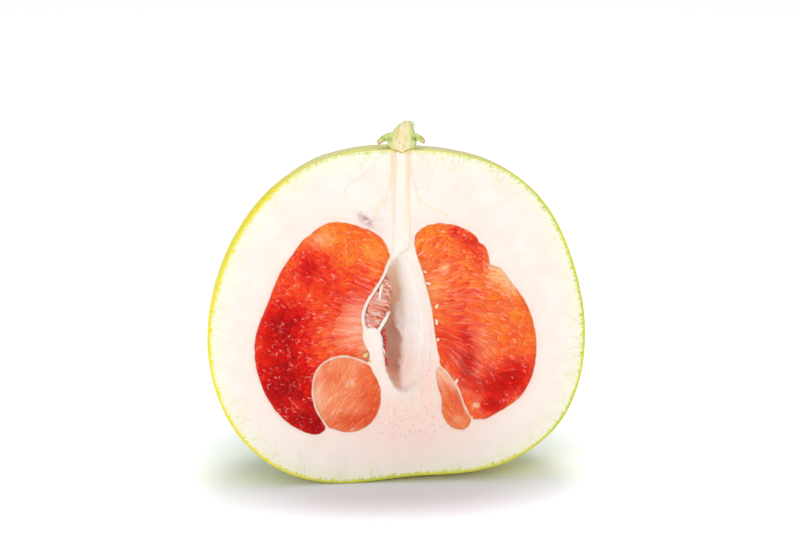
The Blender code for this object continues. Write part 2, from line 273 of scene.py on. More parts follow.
def bands(rows, count, closed=True):
    """Quads between rows of points, where each row is closed to a ring or left open."""
    faces = []
    for base in range(0, (rows - 1) * count, count):
        for k in range(count if closed else count - 1):
            after = (k + 1) % count
            faces.append((base + k, base + after, base + count + after, base + count + k))
    return faces


def tube(path, radii, sides, flat=1.0):
    """Points and faces of a round or flattened tube along a path, with closed ends."""
    path = np.asarray(path, float)
    radii = np.broadcast_to(np.asarray(radii, float), len(path))
    tangent = unit(np.gradient(path, axis=0))
    side = unit(np.cross(tangent, (0, 1, 0)), 1e-9)
    points = []
    for centre, radius, across, over in zip(path, radii, side, np.cross(side, tangent)):
        points += [centre + radius * (math.cos(a) * across + flat * math.sin(a) * over)
                   for a in np.arange(sides) * CIRCLE / sides]
    ends = [tuple(range(sides))[::-1], tuple(range(len(points) - sides, len(points)))]
    return points, bands(len(path), sides) + ends


# ---------------------------------------------------------------- materials


class Nodes:
    """A short way to build a node material. Colours are linear: (red, green, blue)."""

    def __init__(self, name):
        self.material = bpy.data.materials.new(name)
        self.material.use_nodes = True
        self.tree = self.material.node_tree
        self.shader = self.tree.nodes["Principled BSDF"]

    def feed(self, socket, value):
        if hasattr(value, "is_linked"):
            self.tree.links.new(value, socket)
        else:
            socket.default_value = (*value, 1) if socket.type == "RGBA" else value

    def put(self, kind, inputs, output=0, **settings):
        """A new node with its inputs fed; returns one of its outputs."""
        node = self.tree.nodes.new("ShaderNode" + kind)
        for key, value in settings.items():
            setattr(node, key, value)
        for key, value in inputs.items():
            self.feed(node.inputs[key], value)
        return node.outputs[output]

    def field(self, name):
        return self.put("Attribute", {}, "Fac", attribute_name=name)

    def stretched(self, vector, stretch):
        return self.put("VectorMath", {0: vector, 1: stretch}, operation="MULTIPLY")

    def place(self, stretch=None):
        """The position on the object in millimetres, stretched along x, y and z if asked."""
        place = self.put("TexCoord", {}, "Object")
        place = self.put("VectorMath", {0: place, "Scale": 1 / MM}, operation="SCALE")
        return self.stretched(place, stretch) if stretch else place

    def noise(self, size, detail=3, place=None, roughness=0.5):
        return self.put("TexNoise", {"Scale": 1 / size, "Detail": detail, "Roughness": roughness,
                                     "Vector": place or self.place()}, "Fac")

    def ramp(self, factor, *stops):
        """A colour ramp through (position, colour) stops."""
        output = self.put("ValToRGB", {"Fac": factor})
        elements = output.node.color_ramp.elements
        while len(elements) < len(stops):
            elements.new(0.5)
        for element, (position, colour) in zip(elements, stops):
            element.position = position
            element.color = (*colour, 1)
        return output

    def mix(self, share, first, second, blend="MIX"):
        return self.put("Mix", {0: share, 6: first, 7: second}, 2, data_type="RGBA",
                        blend_type=blend)

    def over(self, base, *layers):
        """A base colour with further (share, colour) layers over it, one after the other."""
        for share, colour in layers:
            base = self.mix(share, base, colour)
        return base

    def math(self, operation, first, second, clamp=False):
        return self.put("Math", {0: first, 1: second}, operation=operation, use_clamp=clamp)

    def times(self, first, second):
        return self.math("MULTIPLY", first, second)

    def plus(self, first, second, clamp=False):
        return self.math("ADD", first, second, clamp)

    def swing(self, value, width):
        """A value between 0 and 1 brought to swing about nothing over a width."""
        return self.times(self.math("SUBTRACT", value, 0.5), width)

    def between(self, value, low, high, start=0.0, end=1.0):
        """A value mapped smoothly from one range to another."""
        return self.put("MapRange", {"Value": value, "From Min": low, "From Max": high,
                                     "To Min": start, "To Max": end}, "Result",
                        interpolation_type="SMOOTHSTEP")

    def bump(self, height, distance_mm, strength=1.0, under=None):
        inputs = {"Height": height, "Strength": strength, "Distance": distance_mm * MM}
        if under:
            inputs["Normal"] = under
        return self.put("Bump", inputs)

    def finish(self, colour, roughness, normal=None, flesh=None, **constants):
        """The finished material; flesh is how much light goes in, how deep, and in what colour."""
        inputs = {"Base Color": colour, "Roughness": roughness}
        if normal:
            inputs["Normal"] = normal
        if flesh:
            weight, depth_mm, radius = flesh
            inputs.update({"Subsurface Weight": weight, "Subsurface Scale": depth_mm * MM,
                           "Subsurface Radius": radius})
        for key, value in constants.items():
            inputs[key.replace("_", " ")] = value
        for key, value in inputs.items():
            self.feed(self.shader.inputs[key], value)
        return self.material


def skin_material():
    n = Nodes("pomelo_skin")
    gland = n.field("gland")
    patch = n.plus(n.between(n.noise(70, 2), 0.25, 0.75, 0.32, 0.60), n.field("sunny"))
    net = n.ramp(patch, (0.30, (0.42, 0.50, 0.006)), (0.52, (0.58, 0.62, 0.004)),
                 (0.76, (0.88, 0.76, 0.002)))
    dot = n.ramp(patch, (0.30, (0.17, 0.24, 0.003)), (0.52, (0.27, 0.34, 0.003)),
                 (0.76, (0.66, 0.59, 0.002)))
    dots = n.times(gland, n.between(n.noise(7, 2), 0.3, 0.7, 0.75, 1.15))
    specks = n.between(n.noise(3.1, 1), 0.805, 0.83)
    # The grey layer round the stem is partly waxy bloom and partly painted sheen.
    colour = n.over(net, (n.between(dots, 0.18, 0.62), dot),
                    (n.field("bloom_and_sheen"), (0.62, 0.64, 0.60)), (specks, (0.24, 0.12, 0.03)))
    return n.finish(colour, n.between(gland, 0.2, 0.9, 0.36, 0.5),
                    n.bump(n.noise(0.5, 2), 0.08, 0.6), (0.08, 1.0, (1.0, 1.0, 0.2)),
                    Specular_IOR_Level=0.22)


def pith_material():
    n = Nodes("pomelo_pith")
    rim, blush, column = n.field("rim_mm"), n.field("blush"), n.field("column")
    cloud = n.noise(9, 4)
    fibres = n.between(n.noise(0.9, 2, n.place((1, 1, 0.06))), 0.48, 0.68, 0, 0.5)
    # Towards the skin the pith turns greenish yellow, unevenly and in short streaks.
    waver = n.plus(rim, n.swing(n.noise(3.2, 4), 6))
    # The rim: a yellow line of oil glands, and the thin dry edge of the skin outside it.
    ragged = n.plus(n.plus(rim, n.swing(n.noise(0.8, 2), 0.5)), n.times(n.field("high"), 0.3))
    warm = n.plus(n.between(n.noise(30, 2), 0.35, 0.65, 0, 0.5), n.field("warm"), True)
    lime = n.mix(warm, (0.54, 0.60, 0.004), (0.86, 0.76, 0.001))
    halo = n.between(n.field("segment_mm"), 0.3, 3.5, 0.40, 0)
    red = n.times(n.between(n.noise(0.9, 2), 0.60, 0.68), n.between(blush, 0.5, 1))
    dark = n.between(n.noise(2, 3), 0.3, 0.6, 0.2, 1)
    colour = n.over(
        n.ramp(cloud, (0.3, (0.93, 0.80, 0.71)), (0.55, (0.945, 0.85, 0.77)),
               (0.75, (0.95, 0.88, 0.81))),
        (n.times(blush, n.between(cloud, 0.25, 0.75, 0.6, 1.2)), (0.93, 0.66, 0.58)),
        (n.times(column, 0.5), (0.95, 0.88, 0.79)),
        (n.times(column, fibres), (0.93, 0.80, 0.60)),
        (n.times(n.between(waver, 1.2, 9.5, 0.65, 0), n.field("lemon")), (0.90, 0.90, 0.70)),
        (n.between(waver, 0.8, 3.0, 0.45, 0), (0.87, 0.88, 0.52)),
        (n.times(n.field("peach"), 0.85), (0.95, 0.70, 0.50)),
        (n.between(ragged, 0.6, 0.92, 0.9, 0), lime),
        (n.field("bead"), lime),
        (n.between(rim, 0.10, 0.28, 0.5, 0), (0.74, 0.68, 0.10)),
        (n.times(halo, n.noise(5, 2)), (0.94, 0.62, 0.52)),
        (n.times(n.field("thin"), 0.55), (0.94, 0.60, 0.48)),
        (n.between(n.noise(1.3, 1), 0.76, 0.80, 0, 0.45), (0.85, 0.68, 0.38)),
        (n.times(red, 0.6), (0.80, 0.22, 0.18)),
        (n.times(n.field("smudge"), dark), (0.45, 0.21, 0.23)))
    normal = n.bump(n.noise(0.8, 3), 0.25, 0.5, n.bump(n.noise(3.5, 3), 0.5, 0.35))
    return n.finish(colour, 0.62, normal, (0.25, 1.5, (1.0, 0.6, 0.45)), Specular_IOR_Level=0.3)


def hollow_material():
    n = Nodes("pomelo_hollow")
    edge = n.field("edge")
    fuzz = n.noise(1.0, 5)
    upright = n.place((1, 1, 0.18))
    grain = n.between(n.noise(1.1, 4, upright), 0.3, 0.7, 0.86, 1)
    # Painted shade: the tones of the hollow's shaded left, changing with height.
    shade_tint = n.ramp(n.field("sunk"), (0.05, (0.99, 0.86, 0.70)), (0.23, (0.99, 0.68, 0.46)),
                   (0.34, (0.90, 0.55, 0.35)), (0.57, (0.63, 0.31, 0.20)),
                   (0.69, (0.70, 0.39, 0.28)), (0.86, (0.75, 0.33, 0.21)),
                   (0.96, (0.90, 0.50, 0.36)))
    shade_tint = n.mix(1.0, shade_tint, n.put("CombineColor", {0: grain, 1: grain, 2: grain}), "MULTIPLY")
    colour = n.over(
        n.ramp(fuzz, (0.3, (0.92, 0.89, 0.83)), (0.65, (0.95, 0.94, 0.90))),
        (n.between(n.noise(0.9, 4, upright), 0.45, 0.7, 0, 0.4), (0.91, 0.85, 0.78)),
        (edge, (0.93, 0.84, 0.76)),
        (n.times(n.field("low"), 0.8), (0.94, 0.75, 0.68)),
        (n.times(n.field("shade"), 0.9), shade_tint),
        (n.field("bay"), (0.62, 0.09, 0.05)))
    normal = n.bump(fuzz, 0.8, 0.8, n.bump(n.noise(1.4, 4, upright), 0.5, 0.6))
    # Painted light: the wall glows a little, standing in for light let through the thin wall, so
    # the hollow is never dark.
    glow = n.mix(edge, colour, (0, 0, 0))
    return n.finish(colour, 0.75, normal, (0.2, 1.5, (1.0, 0.55, 0.4)), Emission_Color=glow,
                    Specular_IOR_Level=0.15, Emission_Strength=0.10)


def pulp_material(name, stops, pale):
    """Wet juice sacs: colour from ripeness and sac, with pale walls and bright glints painted on as
    highlights, and painted shade in the folds.
    """
    n = Nodes(name)
    long, ripe = n.field("long"), n.field("ripe")
    fan = n.put("CombineXYZ", {0: n.field("across"), 1: n.field("along")})
    fibre = n.noise(1, 3, n.stretched(fan, (2.6, 0.9, 1)))
    for value, width in ((n.field("sac"), 0.14), (fibre, 0.28), (n.noise(1.4, 3), 0.16),
                         (n.noise(3.4, 3), 0.24)):
        ripe = n.plus(ripe, n.swing(value, width))
    # Painted shade: the folds between sacs darken on the side away from the painted light.
    crease_shade = n.times(n.field("crease_shade"), n.between(long, 0, 1, 0.07, 0.16))
    film = n.ramp(ripe, (0.35, (0.96, 0.58, 0.42)), (0.60, (0.92, 0.36, 0.26)),
                  (0.85, (0.66, 0.07, 0.05)))
    # Pale walls between sacs, shown only on their lit side: the membranes' own paleness, placed as
    # a painted highlight.
    walls = n.times(n.field("line"), n.between(long, 0, 1, 0.20, 0.6))
    # Painted highlights: pale glint strokes and arcs on the wet sacs.
    shine = n.times(n.field("glint"), n.between(n.noise(0.9, 3), 0.3, 0.6))
    colour = n.over(
        n.ramp(n.plus(ripe, crease_shade), *stops),
        (n.times(n.field("dry"), n.between(fibre, 0.3, 0.7, 0.5, 1)), pale),
        (n.times(walls, n.between(n.noise(1.1, 3), 0.36, 0.6)), film),
        (n.times(n.between(fibre, 0.58, 0.72), n.between(long, 0, 1, 0, 0.6)), film),
        (n.times(shine, 0.75), (0.98, 0.68, 0.58)),
        (n.between(n.field("edge_mm"), 0.05, 0.4, 0.4, 0), (0.95, 0.55, 0.40)))
    normal = n.bump(fibre, 0.35, 0.5, n.bump(n.noise(0.7, 2), 0.2, 0.4))
    return n.finish(colour, 0.28, normal, (0.35, 1.4, (1.0, 0.18, 0.08)), Specular_IOR_Level=0.05)


def plain_material(name, colour, roughness, spread, size=1.5, flesh=None):
    """One colour with a little natural variation in tone and relief."""
    n = Nodes(name)
    darker = tuple(channel * (1 - spread) for channel in colour)
    lighter = tuple(min(1, channel * (1 + spread)) for channel in colour)
    shade = n.ramp(n.noise(size, 3), (0.3, darker), (0.7, lighter))
    return n.finish(shade, roughness, n.bump(n.noise(size / 2, 2), 0.1, 0.6), flesh)


# ---------------------------------------------------------------- the skin

SKIN_CENTRE = np.array([0.0, CUT, 66.0])
GLAND_PITCH = 1.85
GLAND_DEPTH = 0.16
GLAND_SHAKE = 0.27
RIM_STEP = 0.8
EDGE_ROUND = 0.3
EDGE_WIDTH = 0.22


def directions(turn, lift):
    """Unit directions: a turn goes round the cut face, a lift goes from it to the back."""
    return np.stack([np.cos(lift) * np.cos(turn), np.sin(lift),
                     np.cos(lift) * np.sin(turn)], axis=-1)


def flattened(turn, lift):
    """Directions laid out flat: the rim outermost, the middle of the back at the centre."""
    radius = np.tan((QUARTER - lift) / 2)
    return np.column_stack([radius * np.cos(turn), radius * np.sin(turn)])


class Dome:
    """The skin's outer surface as a smooth radius from the middle of the cut face."""

    TURNS = 240
    LIFTS = 60
    CAST_FROM = 200.0
    LEAST = 30
    SMOOTHINGS = 14

    def __init__(self):
        tree = solid_tree("skin")
        turns = CIRCLE * np.arange(self.TURNS) / self.TURNS
        lifts = np.maximum(1e-3, np.arange(self.LIFTS + 1) / self.LIFTS * QUARTER)
        radii = np.array([[self.measured(tree, directions(turn, lift)) for turn in turns]
                          for lift in lifts])
        # A ray that slipped through between two faces takes its neighbours' radius.
        for row, column in zip(*np.nonzero(radii < self.LEAST)):
            around = radii[row, (column + np.array([-2, -1, 1, 2])) % self.TURNS]
            radii[row, column] = around[around > self.LEAST].mean()
        for _ in range(self.SMOOTHINGS):
            radii = 0.5 * radii + 0.25 * (np.roll(radii, 1, 1) + np.roll(radii, -1, 1))
            radii[1:-1] = 0.5 * radii[1:-1] + 0.25 * (radii[:-2] + radii[2:])
        radii[-1] = radii[-1].mean()
        self.radii = radii

    def measured(self, tree, ray):
        hit = tree.ray_cast(Vector(SKIN_CENTRE + ray * self.CAST_FROM), Vector(-ray))[0]
        return (hit - Vector(SKIN_CENTRE)).length if hit else 0

    def points(self, turn, lift, out=0.0):
        """Points on the surface, or moved out from it, but none below the floor."""
        lift = np.full(len(turn), lift)
        row = np.clip(lift / QUARTER * self.LIFTS, 0, self.LIFTS - 1e-6)
        column = (turn / CIRCLE * self.TURNS) % self.TURNS
        r, c = row.astype(int), column.astype(int)
        down, along, after = row - r, column - c, (c + 1) % self.TURNS
        near = self.radii[r, c] * (1 - along) + self.radii[r, after] * along
        far = self.radii[r + 1, c] * (1 - along) + self.radii[r + 1, after] * along
        radius = near * (1 - down) + far * down + out
        place = SKIN_CENTRE + directions(turn, lift) * radius[:, None]
        place[:, 2] = np.maximum(place[:, 2], 0)
        return place


def gland_directions(dome):
    """Evenly spread directions over the dome, shaken so that no rows show."""
    radius = dome.radii.mean()
    count = int(CIRCLE * radius ** 2 / (GLAND_PITCH ** 2 * math.sqrt(3) / 2))
    golden = math.pi * (3 - math.sqrt(5))
    numbers = np.arange(count)
    lifts = np.arcsin((numbers + 0.5) / count)
    shake = GLAND_SHAKE * GLAND_PITCH / radius
    lifts = lifts + random.normal(0, shake, count)
    turns = numbers * golden + random.normal(0, shake, count) / np.maximum(np.cos(lifts), 0.05)
    keep = (lifts > 1.3 * GLAND_PITCH / radius / 2) & (lifts < QUARTER - 0.004)
    return turns[keep], lifts[keep]


def in_sixths(points, faces):
    """Triangles cut into six at the middles of their edges; also gives the edges they share."""
    pairs = np.sort(np.vstack([faces[:, [0, 1]], faces[:, [1, 2]], faces[:, [2, 0]]]), axis=1)
    edges, numbers = np.unique(pairs, axis=0, return_inverse=True)
    half = len(points) + numbers.reshape(3, len(faces))
    middle = len(points) + len(edges) + np.arange(len(faces))
    sixths = []
    for k in range(3):
        sixths.append(np.column_stack([faces[:, k], half[k], middle]))
        sixths.append(np.column_stack([half[k], faces[:, (k + 1) % 3], middle]))
    added = [points[edges].mean(axis=1), points[faces].mean(axis=1)]
    return np.vstack([points] + added), np.vstack(sixths), edges


def order_of_loop(source, count):
    """The vertex that stands for each point of the first outline."""
    ring = np.zeros(count, int)
    for index, origin in enumerate(source):
        if origin < count:
            ring[origin] = index
    return ring


def make_skin(dome):
    """The dome with a dimple at every oil gland and a rounded edge at the cut."""
    across = dome.radii[0].mean()
    count = int(CIRCLE * across / RIM_STEP)
    rim_turns = np.arange(count) * CIRCLE / count
    rim = flattened(rim_turns, EDGE_ROUND / across)
    flat, faces, source = triangulated([rim], flattened(*gland_directions(dome)))
    on_rim = source < count
    everything, triangles, edges = in_sixths(flat, faces)
    turn = np.arctan2(everything[:, 1], everything[:, 0]) % CIRCLE
    lift = QUARTER - 2 * np.arctan(np.linalg.norm(everything, axis=1))
    at_rim = np.concatenate([on_rim, on_rim[edges].all(axis=1), np.zeros(len(faces), bool)])
    gland = np.zeros(len(everything))
    gland[:len(flat)] = np.where(on_rim, 0.35, 1.0)
    depth = random.uniform(0.6, 1.15, len(gland)) * GLAND_DEPTH
    out = np.where(at_rim, 0, np.where(gland > 0.5, -depth, 0.03))
    place = dome.points(turn, lift)
    swell = 0.3 * noise_at(place, 17) + 0.12 * noise_at(place, 6, 9.0) - 0.3
    swell *= fade(0, 4, place[:, 1] - CUT) * fade(0.5, 5, place[:, 2])
    out = out * fade(0.1, 1.5, place[:, 2]) + swell
    place += unit(place - SKIN_CENTRE) * out[:, None]
    place[:, 2] = np.maximum(place[:, 2], 0)
    ring = order_of_loop(source, count)
    hem = len(place) + np.arange(count)
    edge = np.column_stack([ring, np.roll(ring, -1), np.roll(hem, -1), hem])
    place = np.vstack([place, dome.points(rim_turns, 0, -EDGE_WIDTH)])
    gland = np.append(gland, np.full(count, 0.2))
    x, y, z = place.T
    # Yellower on the left, near the cut and near the top; round the stem a greyish cap, partly waxy
    # bloom and partly painted sheen for the reflection of the white surroundings.
    sunny = 0.16 * fade(-35, -72, x) * fade(CUT + 45, CUT + 10, y) + 0.08 * fade(95, 130, z)
    sunny += 0.22 * fade(40, 0, y - CUT) * (1 + 0.5 * noise_at(place, 25, 8.0))
    bloom_and_sheen = 0.52 * fade(116, 140, z) * (1 + 0.5 * noise_at(place, 16, 4.0))
    fields = {"gland": gland, "sunny": sunny, "bloom_and_sheen": np.clip(bloom_and_sheen, 0, 1)}
    turn_outwards(make_object("pomelo_skin", place, triangles.tolist() + edge.tolist(),
                              skin_material(), fields, ["skin"]))


# ---------------------------------------------------------------- the cut face

SEGMENT_NODES = ("pulp_left", "pulp_right", "pulp_lower_left", "pulp_lower_right")
OUTLINE_DEPTH = 1.6
OUTLINE_STEP = 0.5
SCALLOP_STEP = 0.45
RIM_SAMPLES = 1100
SEAM = 0.22
SCALLOP = 0.22
# Where an outline is drawn out beyond its solid: (x, z), how far it moves, how wide the pull is.
PULLS = {"pulp_left": (((-15.6, 55.6), (4.9, -4.7), 3.4), ((-34.0, 102.4), (0.8, -0.9), 1.3),
                       ((-37.3, 99.4), (-0.6, 0.5), 2.2), ((-45.0, 86.0), (0.5, -0.3), 1.6)),
         "pulp_right": (((38.3, 90.5), (-1.4, -1.2), 2.2), ((33.6, 99.6), (-0.5, -0.4), 1.2),
                        ((35.6, 96.6), (0.5, 0.4), 1.8))}
# Segments that lie wall to wall, and the thickness of the skin between them.
THIN_WALLS = (("pulp_left", "pulp_lower_left", 0.55), ("pulp_right", "pulp_lower_right", 0.6),
              ("pulp_left", "opening", 1.1))
THIN_WALL_REACH = 5.0
PITH_STEP = 1.2
FINE_STEP = 0.6
BEAD_STEP = 0.42
BEAD_BAND = 2.3
BEAD_PITCH = 1.5
# The pale column above the core: from left to right, and from its foot upwards.
COLUMN_LEFT, COLUMN_RIGHT, COLUMN_FOOT = -1.4, 4.6, 95
SMUDGE = (-13.2, 109.3)
CORE = np.array([3.0, 66.0])
# Where the hollow's painted shade ends: heights, and x at each.
SHADE_BORDER = ((39.6, 45.8, 51.9, 57.5, 59.4, 61.2, 64.3, 70.5, 73.6, 77, 82, 92),
                (1.9, 1.9, 2.6, 2.9, 2.3, 0.7, 0.4, 0.9, 1.8, 2.1, 1.2, 0.8))


def rim_loop(dome):
    points = dome.points(np.arange(RIM_SAMPLES) * CIRCLE / RIM_SAMPLES, 0)
    return grown(even(points[:, [0, 2]], BEAD_STEP), -EDGE_WIDTH)


def closer(loop, neighbour, wall):
    """An outline that leans towards its neighbour until half of a thin wall is left."""
    gap, number = nearest(loop, neighbour)
    toward = (neighbour[number] - loop) / np.maximum(gap, 0.01)[:, None]
    lean = np.maximum(gap - wall, 0) / 2 * fade(THIN_WALL_REACH, THIN_WALL_REACH - 2, gap)
    return loop + toward * lean[:, None]


def segment_loops():
    """The core's mouth, and each segment's outline, scalloped where its sacs press out."""
    loops = {}
    for node in SEGMENT_NODES:
        loop = grown(soft(section_loops(node, OUTLINE_DEPTH)[0], OUTLINE_STEP, 0.8), SEAM)
        for place, shift, reach in PULLS.get(node, ()):
            loop = loop + spot(loop, *place, reach, reach)[:, None] * shift
        loops[node] = even(loop, OUTLINE_STEP)
    found = [soft(loop, OUTLINE_STEP, 0.5) for loop in section_loops("pith", 0.05)]
    loops["opening"] = min((loop for loop in found if inside(CORE[None], loop)[0]), key=area)
    for first, second, wall in THIN_WALLS:
        loops[first], loops[second] = (closer(loops[first], loops[second], wall),
                                       closer(loops[second], loops[first], wall))
    for node in SEGMENT_NODES:
        wave = SCALLOP * noise_at(loops[node], 2.6, 6.0)
        loops[node] = even(grown(loops[node], wave[:, None]), SCALLOP_STEP)
    return loops


class Hollow:
    """The dried core: its torn opening, and its wall as rings of points going deeper."""

    LEVELS = 22
    DEPTH = 16.4
    BACK = np.array([-3.4, 66.0])
    RAGGED = 0.42
    LEAST_REACH = 0.5

    def __init__(self, opening):
        # The opening is ragged at its lower left and at its top.
        torn = fade(3, -2, opening[:, 0]) * fade(63, 58, opening[:, 1])
        torn += fade(90, 93, opening[:, 1])
        frayed = noise_at(opening, 0.9, 3.0) + 0.6 * noise_at(opening, 2.4, 5.0)
        self.opening = opening + (self.RAGGED * torn * frayed)[:, None] * (1, 0.6)
        rays = unit(self.opening - CORE)
        self.depths = np.linspace(1.9, self.DEPTH, self.LEVELS)
        tree = solid_tree("pith")
        reach = np.array([[self.reach(tree, ray, depth) for ray in rays]
                          for depth in self.depths])
        for _ in range(4):
            reach = 0.5 * reach + 0.25 * (np.roll(reach, 1, 1) + np.roll(reach, -1, 1))
        self.rings = [self.middle(depth) + rays * row[:, None]
                      for depth, row in zip(self.depths, reach)]

    def reach(self, tree, ray, depth):
        """How far the wall is from the middle at that depth, along a ray."""
        x, z = self.middle(depth)
        start = Vector((x, CUT + depth, z))
        hit = tree.ray_cast(start, Vector((ray[0], 0, ray[1])))[0]
        return (hit - start).length if hit else self.LEAST_REACH

    def middle(self, depth):
        """The hollow's middle, which wanders to the left as it goes deeper."""
        share = min(1, depth / 14)
        return CORE * (1 - share) + self.BACK * share


def bead_field(rim, distance, number):
    """How much each point belongs to one of the oil glands cut open along the rim."""
    length = len(rim) * BEAD_STEP
    along = number * BEAD_STEP
    count = int(length / BEAD_PITCH)
    centre_along = (np.arange(count) + random.uniform(-0.28, 0.28, count)) * length / count
    centre_depth = random.uniform(0.75, 1.25, count)
    size = random.uniform(0.40, 0.80, count)
    strength = random.uniform(0.35, 1, count)
    bead = np.zeros(len(distance))
    for offset in (-1, 0, 1):
        which = (np.round(along / length * count).astype(int) + offset) % count
        gap = np.abs(along - centre_along[which])
        gap = np.minimum(gap, length - gap)
        away = np.hypot(gap, (distance - centre_depth[which]) * 0.9) / size[which]
        bead = np.maximum(bead, strength[which] * (1 - fade(0.55, 1.25, away)))
    return bead


def lip_depth(flat, segment_mm, opening_mm):
    """How far the cut face rounds down beside the segments and into the hollow."""
    soft_side = fade(-1, 5, flat[:, 0])
    lip = 0.16 * np.exp(-segment_mm / 0.3)
    lip += (1 - soft_side) * 0.25 * np.exp(-opening_mm / 0.4)
    return lip + soft_side * 1.5 * np.exp(-opening_mm / 2.0) * fade(0, 1.8, segment_mm)


def face_points(rim, holes):
    """Loose points for the cut face: finer by the rim, the holes and the central column."""
    left, right, foot, top = COLUMN_LEFT - 5, COLUMN_RIGHT + 5, COLUMN_FOOT - 1, 134.5
    coarse = lattice(grown(rim, -1.5), PITH_STEP)
    x, z = coarse.T
    coarse = coarse[~((x > left) & (x < right) & (z > foot))]
    box = np.array([(left, foot), (right, foot), (right, top), (left, top)])
    middle = np.vstack([coarse, lattice(box, FINE_STEP)])
    middle = middle[distance_to(middle, rim) > BEAD_BAND]
    banded = [grown(rim, -offset) for offset in np.arange(BEAD_STEP, BEAD_BAND, BEAD_STEP)]
    lips = [grown(hole, offset) for hole in holes for offset in (0.35, 0.8, 1.4)]
    extra = np.vstack([middle] + banded + lips)
    free = inside(extra, grown(rim, -0.3))
    for hole in holes:
        free &= ~inside(extra, grown(hole, 0.2))
    extra = extra[free]
    return extra[distance_to(extra, np.vstack(holes)) > 0.2]


def make_cut_face(rim, loops, hollow):
    """The pith's flat cut face, with its rim, its colour fields and a soft lip at each hole."""
    holes = list(loops.values()) + [hollow.opening]
    flat, faces, _ = triangulated([rim] + holes, face_points(rim, holes))
    centre = flat[faces].mean(axis=1)
    keep = inside(centre, rim)
    for hole in holes:
        keep &= ~inside(centre, hole)
    x, z = flat.T
    rim_mm, number = nearest(flat, rim)
    gaps = np.sort([distance_to(flat, loop) for loop in loops.values()], axis=0)
    segment_mm = gaps[0]
    bead = bead_field(rim, rim_mm, number) * fade(170, 120, z)
    grain = 1 + 0.6 * noise_at(flat, 2.2) + 0.4 * noise_at(flat, 7, 2.0)
    depth = lip_depth(flat, segment_mm, distance_to(flat, hollow.opening)) + 0.08 * bead
    depth += 0.07 * grain * fade(0.3, 2, rim_mm)
    # Pink pith: under the core, to the right of the hollow and beside the segments.
    blush = 0.9 * spot(flat, 6, 25, 24, 15) + 0.8 * spot(flat, 12, 49, 4.5, 12)
    blush += 0.16 * fade(14, 0, segment_mm) + 0.1 * noise_at(flat, 14, 3.0)
    column = fade(COLUMN_LEFT - 0.6, COLUMN_LEFT + 0.4, x)
    column *= fade(COLUMN_RIGHT + 0.6, COLUMN_RIGHT - 0.4, x)
    column *= fade(COLUMN_FOOT - 2, COLUMN_FOOT + 2, z)
    # The column's two sides turn peach towards the stem.
    flanks = np.exp(-((x + 1.6) / 1.2) ** 4) + np.exp(-((x - 4.1) / 1.1) ** 4)
    peach = flanks * (0.25 * fade(96, 112, z) + 0.75 * fade(112, 131, z))
    # A bruise: a slanting streak in a faint halo.
    away = flat - SMUDGE
    smudge = np.exp(-((away @ (0.75, -0.66)) / 3.2) ** 2 - ((away @ (0.66, 0.75)) / 1.3) ** 2)
    smudge += 0.22 * spot(away, 3.5, -2, 5.5, 5.5)
    fields = {"rim_mm": rim_mm, "segment_mm": np.minimum(segment_mm, 30), "bead": bead,
              "blush": np.clip(blush, 0, 1), "column": column, "peach": peach,
              "smudge": smudge, "thin": fade(1.5, 0.8, gaps[0] + gaps[1]),
              "high": fade(112, 130, z), "warm": fade(-20, -62, x),
              "lemon": 1 - 0.85 * np.exp(-((x - 1.5) / 9) ** 4)}
    points = as_3d(flat, depth)
    make_object("pomelo_pith_face", points, facing_front(points, faces[keep]), pith_material(),
                fields, ["pith"])


def make_hollow(hollow, loops):
    """The wall of the dried core, fuzzy, with painted shade on its left and bright on its right."""
    opening, count = hollow.opening, len(hollow.opening)
    segment_mm = distance_to(opening, np.vstack(list(loops.values())))
    first = lip_depth(opening, segment_mm, np.zeros(count))
    rows = [as_3d(opening, first + 0.07)]
    rows += [as_3d(ring, depth + 0.4) for ring, depth in zip(hollow.rings, hollow.depths)]
    middle = hollow.middle(hollow.DEPTH)
    rows += [as_3d(middle + (hollow.rings[-1] - middle) * shrink, hollow.DEPTH + 0.9)
             for shrink in (0.7, 0.4, 0.12)]
    points = np.vstack(rows)
    depths = np.append(first, np.repeat([*hollow.depths] + 3 * [hollow.DEPTH], count))
    outward = points[:, [0, 2]] - [hollow.middle(depth) for depth in depths]
    fuzz = 0.3 * noise_at(points, 1.3) + 0.35 * noise_at(points, 4.5, 5.0)
    fuzz += 0.4 * noise_at(points * (1, 1, 0.15), 1.2, 2.0)
    points[:, [0, 2]] += unit(outward, 0.1) * ((fuzz + 0.1) * fade(0.9, 3, depths))[:, None]
    faces = bands(len(rows), count) + [tuple(range(len(points) - count, len(points)))]
    x, _, z = points.T
    # The painted shade on the left ends at an uneven border.
    wander = 0.6 * noise_at(points, 2.2, 7.0) + 0.4 * noise_at(points, 0.8, 3.0)
    border = np.interp(z, *SHADE_BORDER)
    shade = fade(1.0, -0.8, x - border + wander) * fade(0.5, 3, depths)
    # Red shows low in the left wall, where the torn segment lies open.
    uneven = 1.2 * noise_at(points, 1.8, 9.0)
    bay = fade(-3.4, -4.7, x + 0.5 * uneven) * fade(0.4, 1.2, depths)
    bay *= fade(49, 52, z + uneven) * fade(68, 65, z + uneven) * fade(7, 2.5, depths + uneven)
    # sunk sets the painted shade's tone by height.
    fields = {"shade": shade, "bay": bay, "sunk": np.clip((92 - z) / 54, 0, 1),
              "low": fade(62, 46, z) * (1 - shade), "edge": fade(4.5, 1.2, depths) * fade(-1, 5, x)}
    make_object("pomelo_core_wall", points, faces, hollow_material(), fields)


# ---------------------------------------------------------------- veins and strands

